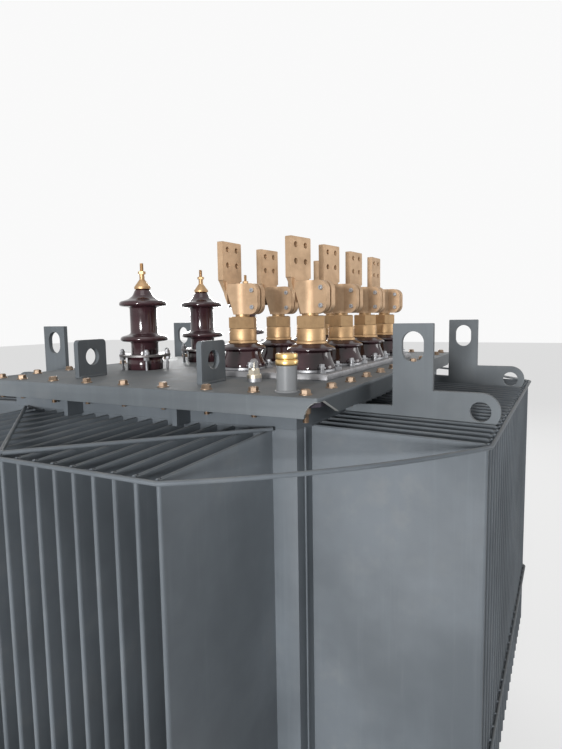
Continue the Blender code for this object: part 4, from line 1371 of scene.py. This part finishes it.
@dataclass
class LowVoltageBushing:
    """One short bushing with its thick stud, nut and split clamp terminal."""

    row: Row
    number: int
    x: float
    y: float
    turn: float
    seat: float = 0.0166
    foot: float = 0.0665
    waist: float = 0.052
    lip: float = 0.0675
    lip_level: float = 0.078
    porcelain_top: float = 0.093
    top_radius: float = 0.047
    foot_ring: float = 0.0645
    foot_ring_height: float = 0.008
    washer: float = 0.044
    ring: float = 0.040
    ring_top: float = 0.137
    nut_flats: float = 0.074
    nut_top: float = 0.171
    stud: float = 0.021
    stud_top: float = 0.255
    clamp_bottom: float = 0.177
    clamp_top: float = 0.266
    clamp_radius: float = 0.031
    slot: float = 0.008
    ear: float = 0.017
    ear_reach: float = 0.066
    ear_corner: float = 0.026
    hip_rise: float = 0.061
    hip_depth: float = 0.020
    palm_front: float = 0.033
    palm_back: float = 0.051
    palm_width: float = 0.095
    palm_bottom: float = 0.275
    palm_top: float = 0.388
    palm_corner: float = 0.003
    tail_recess: float = 0.003
    waist_drop: float = 0.043
    waist_depth: float = 0.0095
    tail_drop: float = 0.070
    palm_hole: float = 0.008
    palm_hole_pitch: float = 0.045
    palm_hole_edge: float = 0.022
    bolt_inset: float = 0.017
    bolt_spread: float = 0.048
    nut_turn: float = math.pi / 9 + math.pi / 6
    washer_height: float = 0.008
    thread_pitch: float = 0.003
    finger_half: float = 0.008
    finger_reach: float = 0.022
    finger_overlap: float = 0.0045
    finger_corner: float = 0.003
    finger_low: float = 0.0130
    finger_high: float = 0.0170
    block_top: float = 0.0090
    block_gap: float = 0.0006
    finger_bolt: float = 0.011
    finger_shank: float = 0.006
    finger_flats: float = 0.013
    finger_washer: float = 0.0082
    clamp_head: float = 0.0066
    clamp_socket: float = 0.0030
    clamp_shank: float = 0.0045
    clamp_end: float = 0.0042
    clamp_nut: float = 0.013
    cast_bevel: float = 0.0014
    casting: ClassVar[list[bpy.types.Mesh]] = []

    @property
    def label(self) -> str:
        """The row and number as they stand in names."""
        return f"{self.row.value}_{self.number}"

    @property
    def at(self) -> Matrix:
        """Where it stands."""
        return shift(self.x, self.y, COVER_TOP)

    @property
    def palm_at(self) -> Matrix:
        """Where it stands, turned as its palm is."""
        return shift(self.x, self.y, COVER_TOP, math.radians(self.turn))

    def build(self) -> None:
        """Makes the bushing's pieces."""
        self.porcelain()
        self.holdfasts()
        self.hardware()
        self.terminal()

    def porcelain(self) -> None:
        """The glazed bell under its lip, on its foot ring."""
        lip, level = self.lip, self.lip_level
        foot = self.seat + self.foot_ring_height
        profile = [
            (0.0, self.porcelain_top),
            (self.top_radius - 0.002, self.porcelain_top),
            (self.top_radius + 0.001, self.porcelain_top - 0.002),
            (lip - 0.008, level + 0.0075),
            (lip - 0.003, level + 0.0048),
            (lip, level + 0.0015),
            (lip, level - 0.0012),
            (lip - 0.003, level - 0.0036),
            (self.waist + 0.005, level - 0.0052),
            (self.waist + 0.001, level - 0.0085),
            (self.waist + 0.0018, level - 0.016),
            (self.foot - 0.0030, foot + 0.014),
            (self.foot - 0.0006, foot + 0.009),
            (self.foot, foot + 0.005),
            (self.foot, foot + 0.0015),
            (self.foot - 0.002, foot),
            (0.0, foot),
        ]
        body = Shape().turned(profile, self.at, 72)
        glazed = body.piece(f"lv_glazed_bell_{self.label}", PORCELAIN, angle=50.0)
        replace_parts(glazed, f"lv_porcelain_{self.label}")
        r, top, low = self.foot_ring, foot - 0.0002, self.seat
        ring = [(0.0, top), (r - 0.001, top), (r, top - 0.001),
                (r, low + 0.001), (r - 0.001, low), (0.0, low)]
        Shape().turned(ring, self.at, 64).piece(f"lv_foot_ring_{self.label}", BRIGHT_ZINC, angle=40.0)

    def holdfasts(self) -> None:
        """Four clamp fingers with bolts that hold the bell's foot to the plate."""
        shape = Shape()
        low, foot, half = self.seat + 0.0002, self.foot, self.finger_half
        outer = (foot + self.finger_reach, half)
        finger = rounded_box((foot - self.finger_overlap, -half), outer, self.finger_corner, 3)
        block = rounded_box((foot + self.block_gap, -half), outer, self.finger_corner, 3)
        for i in range(4):
            angle = math.radians(45.0 + 90.0 * i)
            spot = self.at @ Matrix.Rotation(angle, 4, "Z")
            shape.plate(block, low, low + self.block_top, spot)
            shape.plate(finger, low + self.finger_low, low + self.finger_high, spot)
            bolt = spot @ Matrix.Translation((foot + self.finger_bolt, 0.0, 0.0))
            shape.drum(bolt, self.finger_shank, low + self.block_top, low + self.finger_low, 16)
            head = bolt @ Matrix.Translation((0.0, 0.0, low + self.finger_high))
            shape.hex_bolt(head, self.finger_flats, 0.006, self.finger_washer, angle)
        shape.piece(f"lv_holdfasts_{self.label}", BRIGHT_ZINC, angle=32.0)

    def hardware(self) -> None:
        """Washer, brass ring, big nut and the stud."""
        at, low = self.at, self.porcelain_top + SEAT
        ring_low = low + self.washer_height
        r, nut, top = self.ring, self.nut_flats / 2, self.nut_top
        profile = [
            (0.0, self.stud_top),
            (self.stud - 0.0015, self.stud_top),
            (self.stud, self.stud_top - 0.0015),
            (self.stud, self.ring_top),
            (r - 0.0035, self.ring_top),
            (r - 0.001, self.ring_top - 0.0012),
            (r, self.ring_top - 0.0035),
            (r, ring_low + 0.0008),
            (r - 0.0008, ring_low),
            (0.0, ring_low),
        ]
        shape = Shape().turned(profile, at, 64)
        shape.plate(polygon(6, self.nut_flats, self.nut_turn), self.ring_top, top - 0.002, at)
        shape.drum(at, nut * 0.99, top - 0.0022, top, 48, nut * 0.92)
        shape.thread(at, self.stud * 0.985, top - 0.001, self.clamp_bottom + 0.004, self.thread_pitch)
        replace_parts(shape.piece(f"lv_ring_nut_{self.label}", BRASS, angle=32.0), f"lv_stud_{self.label}")
        top, w = ring_low - 0.0003, self.washer
        pad = [(0.0, top), (w - 0.0025, top), (w, low + 0.0025),
               (w, low + 0.001), (w - 0.001, low), (0.0, low)]
        Shape().turned(pad, at, 56).piece(f"lv_washer_{self.label}", BRASS, angle=40.0)

    def clamp_plan(self) -> list[Point2]:
        """Plan of the split clamp: ears towards -Y, web under the palm at +Y.

        Returns:
            The outline.
        """
        bore, wrap, back = self.stud + 0.0005, self.clamp_radius, self.palm_back
        half = self.slot / 2
        ear = half + self.ear
        mouth = math.degrees(math.asin(half / bore))
        meet = math.degrees(math.asin(ear / wrap))
        right = [(half, -self.ear_reach), (ear, -self.ear_reach)]
        right += [*arc((0.0, 0.0), wrap, -90.0 + meet, 0.0, 16), (wrap, back)]
        left = [(-wrap, back), *arc((0.0, 0.0), wrap, 180.0, 270.0 - meet, 16)]
        left += [(-ear, -self.ear_reach), (-half, -self.ear_reach)]
        return [*right, *left, *arc((0.0, 0.0), bore, 270.0 - mouth, -90.0 + mouth, 40)]

    def side_view(self) -> list[Point2]:
        """Side view of clamp and palm: rounded ears, and a tail that tapers in to the clamp's back.

        Returns:
            The outline.
        """
        corner, spare = self.ear_corner, 0.002
        return [
            (self.clamp_radius, self.clamp_bottom),
            (self.clamp_radius, self.palm_bottom - self.tail_drop),
            (self.palm_back - self.waist_depth, self.palm_bottom - self.waist_drop),
            (self.palm_back, self.palm_bottom),
            (self.palm_back, self.palm_top + spare),
            (self.palm_front - spare, self.palm_top + spare),
            (self.palm_front - spare, self.clamp_top),
            *arc((corner - self.ear_reach, self.clamp_top - corner), corner, 90.0, 180.0, 12),
            *arc((corner - self.ear_reach, self.clamp_bottom + corner), corner, 180.0, 270.0, 12),
        ]

    def tail_outline(self) -> list[Point2]:
        """Front view of the palm's tail, which narrows to the clamp's width.

        Returns:
            The outline.
        """
        wide, waist = self.palm_width / 2 - self.tail_recess, self.clamp_radius - self.tail_recess
        low, bend = self.palm_bottom - self.tail_drop, self.palm_bottom - self.waist_drop
        right = [(waist, low), (waist, bend), (wide, self.palm_bottom), (wide, self.palm_bottom + 0.002)]
        return [*right, *[(-x, z) for x, z in reversed(right)]]

    def hip(self, side: float) -> Shape:
        """A corner pyramid that slopes the clamp's back down to the round wrap.

        Args:
            side: The side it is on, -1 or 1.

        Returns:
            The pyramid.
        """
        across, rise, depth, spare = self.clamp_radius, self.hip_rise, self.hip_depth, 0.001
        reach = 1.0 + spare / across + spare / depth + spare / rise
        corner = Vector((side * (across + spare), across + spare, self.clamp_bottom - spare))
        legs = ((-side * across, 0.0, 0.0), (0.0, -depth, 0.0), (0.0, 0.0, rise))
        shape = Shape()
        verts = [shape.work.verts.new(p) for p in (corner, *(corner + reach * Vector(leg) for leg in legs))]
        for face in ((0, 1, 2), (0, 2, 3), (0, 3, 1), (1, 3, 2)):
            shape.work.faces.new([verts[i] for i in face])
        return shape

    def cast_form(self) -> bpy.types.Mesh:
        """The mesh of the whole casting, made once for all the bushings.

        Returns:
            The mesh.
        """
        if LowVoltageBushing.casting:
            return LowVoltageBushing.casting[0]
        half, reach = self.palm_width / 2, 2 * self.clamp_radius
        thickness = self.palm_back - self.palm_front
        row, hole = self.palm_top - self.palm_hole_edge, self.palm_hole_pitch / 2
        holes = [circle((sx * hole, z), self.palm_hole, 28)
                 for sx in (-1.0, 1.0) for z in (row, row - self.palm_hole_pitch)]
        face = rounded_box((-half, self.palm_bottom), (half, self.palm_top), self.palm_corner, 3)
        back = upright((1.0, 0.0, 0.0), (0.0, self.palm_back, 0.0))
        side_at = upright((0.0, 1.0, 0.0), (-reach, 0.0, 0.0))
        clamp = Shape().plate(self.clamp_plan(), self.clamp_bottom, self.palm_bottom, Matrix.Identity(4))
        base = clamp.bare("clamp_form")
        tail = Shape().plate(self.tail_outline(), 0.0, thickness - self.tail_recess, back).bare("tail_form")
        palm = Shape().plate(face, 0.0, thickness, back, holes).bare("palm_form")
        side = Shape().plate(self.side_view(), 0.0, 2 * reach, side_at).bare("side_form")
        hips = [self.hip(sx).bare(f"hip_form_{sx:+.0f}") for sx in (-1.0, 1.0)]
        steps = [(tail, "UNION"), (palm, "UNION"), (side, "INTERSECT")]
        steps += [(hip, "DIFFERENCE") for hip in hips]
        LowVoltageBushing.casting.append(combined(base, steps))
        for form in (base, tail, palm, side, *hips):
            bpy.data.objects.remove(form, do_unlink=True)
        return LowVoltageBushing.casting[0]

    def terminal(self) -> None:
        """The split clamp cast in one with its drilled palm, and its two clamp bolts."""
        shape = Shape()
        shape.work.from_mesh(self.cast_form())
        shape.work.transform(self.palm_at)
        obj = shape.piece(f"lv_palm_clamp_{self.label}", ALLOY, self.cast_bevel)
        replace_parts(obj, f"lv_terminal_{self.label}")
        self.clamp_bolts()

    def clamp_bolts(self) -> None:
        """Two socket-head bolts through the ears."""
        shape = Shape()
        middle = (self.clamp_bottom + self.clamp_top) / 2
        outer, under = self.slot / 2 + self.ear, self.slot / 2 + self.ear - 0.001
        head, socket = self.clamp_head, self.clamp_socket
        profile = [(0.0, outer + 0.0020), (socket - 0.0004, outer + 0.0020), (socket, outer + 0.0060),
                   (head - 0.0008, outer + 0.0060), (head, outer + 0.0052), (head, under), (0.0, under)]
        across = Matrix.Rotation(math.radians(-90.0), 4, "Y")
        for rise in (-0.5, 0.5):
            place = (0.0, self.bolt_inset - self.ear_reach, middle + rise * self.bolt_spread)
            spot = self.palm_at @ Matrix.Translation(place) @ across
            shape.turned(profile, spot, 32)
            shape.drum(spot, self.clamp_shank, -outer, under, 20)
            shape.plate(polygon(6, self.clamp_nut, 0.3), -outer - 0.0075, -outer + 0.0005, spot)
            shape.drum(spot, self.clamp_end, -outer - 0.0105, -outer, 20)
        shape.piece(f"lv_clamp_bolts_{self.label}", BRIGHT_ZINC, angle=32.0)


def combined(base: bpy.types.Object, others: Sequence[tuple[bpy.types.Object, str]]) -> bpy.types.Mesh:
    """The mesh of an object after Booleans with others.

    Args:
        base: The object.
        others: Each other object with its operation.

    Returns:
        The new mesh.
    """
    for other, operation in others:
        modifier = base.modifiers.new(operation, "BOOLEAN")
        modifier.operation = operation
        modifier.solver = "EXACT"
        modifier.object = other
    bpy.context.view_layer.update()
    graph = bpy.context.evaluated_depsgraph_get()
    return bpy.data.meshes.new_from_object(base.evaluated_get(graph))


@dataclass
class Filler:
    """The short filling pipe with its two-step cap."""

    x: float = -0.672
    y: float = -0.437
    radius: float = 0.0235
    height: float = 0.060
    cap_radius: float = 0.026
    cap_height: float = 0.026
    bead_radius: float = 0.0030
    bead_out: float = 0.0015

    def build(self) -> None:
        """Makes the pipe, its cap and the weld at its foot."""
        at = shift(self.x, self.y, COVER_TOP + SEAT)
        r, h = self.radius, self.height
        pipe = [(0.0, h), (r - 0.001, h), (r, h - 0.001), (r, 0.001), (r, 0.0), (0.0, 0.0)]
        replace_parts(Shape().turned(pipe, at, 56).piece("filling_pipe", FILLER_PAINT), "filler_pipe")
        low, c = h + SEAT, self.cap_radius
        top = low + self.cap_height
        middle = low + self.cap_height / 2
        cap = [
            (0.0, top),
            (c * 0.88, top),
            (c * 0.955, top - 0.0012),
            (c * 0.97, top - 0.003),
            (c * 0.97, middle + 0.003),
            (c * 0.95, middle + 0.0012),
            (c * 0.90, middle),
            (c * 0.95, middle - 0.0010),
            (c, middle - 0.003),
            (c, low + 0.003),
            (c * 0.97, low + 0.001),
            (c * 0.94, low),
            (0.0, low),
        ]
        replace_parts(Shape().turned(cap, at, 64).piece("filling_cap", BRIGHT_BRASS, angle=40.0), "filler_cap")
        around = [math.tau * i / 44 for i in range(44)]
        r, level = r + self.bead_out, COVER_TOP + self.bead_out
        ring = [(self.x + r * math.cos(a), self.y + r * math.sin(a), level) for a in around]
        bead = Shape().tube(ring, self.bead_radius, 8, closed=True, ripple=lambda i: 1.0 + 0.12 * (-1) ** i)
        bead.piece("pipe_weld_bead", FILLER_PAINT)


@dataclass
class ReliefValve:
    """The small valve: disc, hexagon body and a clear dome over its spindle."""

    x: float = -0.527
    y: float = -0.267
    disc: float = 0.0195
    hexagon: float = 0.029
    dome: float = 0.0120
    seat_top: float = 0.0094
    disc_low: float = 0.0095
    disc_top: float = 0.019
    hex_top: float = 0.035
    neck_height: float = 0.004
    spindle_drop: float = 0.010
    top: float = 0.061

    def build(self) -> None:
        """Makes the valve's pieces."""
        at = shift(self.x, self.y, COVER_TOP + SEAT)
        d, hex_top, neck_low = self.disc, self.hex_top, self.hex_top - self.neck_height
        tip = self.top - self.spindle_drop
        disc = [(0.0, self.disc_top), (d - 0.001, self.disc_top), (d, self.disc_top - 0.001),
                (d, self.disc_low), (0.0, self.disc_low)]
        body = Shape().turned(disc, at, 48)
        body.plate(polygon(6, self.hexagon), self.disc_top, neck_low, at)
        body.drum(at, self.dome + 0.0015, neck_low, hex_top, 40)
        body.drum(at, 0.0020, hex_top, tip, 20, 0.0016)
        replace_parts(body.piece("valve_body", VALVE_METAL, angle=32.0), "relief_valve")
        Shape().drum(at, d, 0.0, self.seat_top, 48).piece("valve_seat", BRIGHT_ZINC, angle=40.0)
        ball = arc((0.0, self.top - self.dome), self.dome, 90.0, 0.0, 14)
        shell = [(0.0, self.top), *ball[1:], (self.dome, hex_top + 0.0002), (0.0, hex_top + 0.0002)]
        Shape().turned(shell, at, 40).piece("valve_dome", CLEAR, angle=50.0)


@dataclass
class Studio:
    """Pale floor, soft lamps, white surroundings and the camera."""

    camera_at: Point3 = (-1.782, -1.0005, COVER_TOP + 0.1693)
    heading: float = 27.525
    dip: float = 5.97
    roll: float = -0.91
    focal_pixels: float = 554.4
    frame_height: float = 749.0
    sensor: float = 36.0
    white: float = 0.95
    fill: float = 0.16
    floor_share: float = 0.70
    floor_size: float = 60.0
    floor_drop: float = 0.001
    aim: Point3 = (0.0, 0.0, 1.2)
    lamps: list[tuple[str, Point3, float, float]] = field(default_factory=lambda: [
        ("key", (-6.4, -1.2, 1.70), 0.8, 350.0),
        ("top", (-1.6, -0.6, 4.6), 2.0, 22.0),
        ("side", (3.4, -6.0, 2.2), 2.4, 88.0),
        ("back", (5.2, 3.8, 2.4), 2.4, 400.0),
    ])

    def build(self) -> None:
        """Makes the floor, the lamps, the surroundings and the camera."""
        self.floor()
        self.surroundings()
        for name, place, size, power in self.lamps:
            self.lamp(name, Vector(place), size, power)
        self.camera()

    def floor(self) -> None:
        """A wide pale floor that keeps the object's shadow."""
        bpy.ops.mesh.primitive_plane_add(size=self.floor_size, location=(0.0, 0.0, -self.floor_drop))
        floor = bpy.context.active_object
        floor.name = "studio_floor"
        g = Graph("studio_floor")
        speckle = g.noise(3.0, 3.0, 0.5)
        tone = g.mix(speckle * 0.3, (0.70, 0.70, 0.69), (0.66, 0.66, 0.66))
        material = g.dress(Base_Color=tone, Roughness=0.85)
        glow = g.node("ShaderNodeEmission", {}, {"Color": (1.0, 1.0, 1.0), "Strength": self.white})
        sockets = {0: g.shown() * self.floor_share, 1: g.shader.outputs[0], 2: glow.outputs[0]}
        pale = g.node("ShaderNodeMixShader", {}, sockets)
        g.feed(g.tree.nodes["Material Output"].inputs["Surface"], pale.outputs[0])
        floor.data.materials.append(material)

    def surroundings(self) -> None:
        """A grey-white world that lights softly and shows white to the camera."""
        g = Graph("studio", world=True)
        strength = self.fill + (self.white - self.fill) * g.shown()
        bpy.context.scene.world = g.dress(Color=(1.0, 1.0, 1.0), Strength=strength)

    def lamp(self, name: str, place: Vector, size: float, power: float) -> None:
        """A square soft lamp aimed at the object.

        Args:
            name: What it is for.
            place: Where it hangs.
            size: Length of its side.
            power: Its power in watts.
        """
        data = bpy.data.lights.new(f"{name}_lamp", "AREA")
        data.size = size
        data.energy = power
        lamp = bpy.data.objects.new(data.name, data)
        lamp.location = place
        lamp.rotation_mode = "QUATERNION"
        lamp.rotation_quaternion = (Vector(self.aim) - place).to_track_quat("-Z", "Y")
        bpy.context.scene.collection.objects.link(lamp)

    def camera(self) -> None:
        """The camera at the picture's place, with its slight roll."""
        heading, dip, roll = (math.radians(v) for v in (self.heading, self.dip, self.roll))
        level = math.cos(dip)
        forward = Vector((math.cos(heading) * level, math.sin(heading) * level, -math.sin(dip)))
        right = Vector((math.sin(heading), -math.cos(heading), 0.0))
        up = right.cross(forward)
        cos, sin = math.cos(roll), math.sin(roll)
        right, up = right * cos + up * sin, up * cos - right * sin
        data = bpy.data.cameras.new("camera")
        data.sensor_width = self.sensor
        data.lens = self.focal_pixels / self.frame_height * self.sensor
        data.clip_start, data.clip_end = 0.02, 100.0
        camera = bpy.data.objects.new("camera", data)
        turn = Matrix((right, up, -forward)).transposed().to_4x4()
        camera.matrix_world = Matrix.Translation(self.camera_at) @ turn
        bpy.context.scene.collection.objects.link(camera)
        bpy.context.scene.camera = camera


def clear_scene() -> None:
    """Removes what the startup file holds."""
    for obj in list(bpy.data.objects):
        bpy.data.objects.remove(obj, do_unlink=True)


def low_voltage_bushings() -> list[LowVoltageBushing]:
    """The two rows of low-voltage bushings, each palm turned as its fitter left it.

    Returns:
        The bushings in order.
    """
    first, pitch = -0.3705, 0.228
    rows = {
        Row.FRONT: (-0.362, (-11.0, -9.0, -6.0, -2.0)),
        Row.BACK: (-0.140, (-3.0, -8.0, -9.0, -6.0)),
    }
    return [LowVoltageBushing(row, i + 1, first + i * pitch, y, turn)
            for row, (y, turns) in rows.items() for i, turn in enumerate(turns)]


def main() -> None:
    """Builds every piece in order."""
    logging.basicConfig(level=logging.INFO, format="%(name)s: %(message)s")
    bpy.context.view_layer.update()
    parts = [Tank(), TipRods(), Cover(), LiftingGear()]
    parts += [HighVoltageBushing(i + 1, (i - 1) * HV_PITCH) for i in range(3)]
    parts += [*low_voltage_bushings(), Filler(), ReliefValve(), Studio()]
    for part in parts:
        part.build()
        LOG.info("built %s", type(part).__name__)
    bpy.context.scene.view_settings.view_transform = "Standard"
    bpy.context.view_layer.update()


if __name__ == "__main__":
    clear_scene()
    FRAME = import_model()
    main()
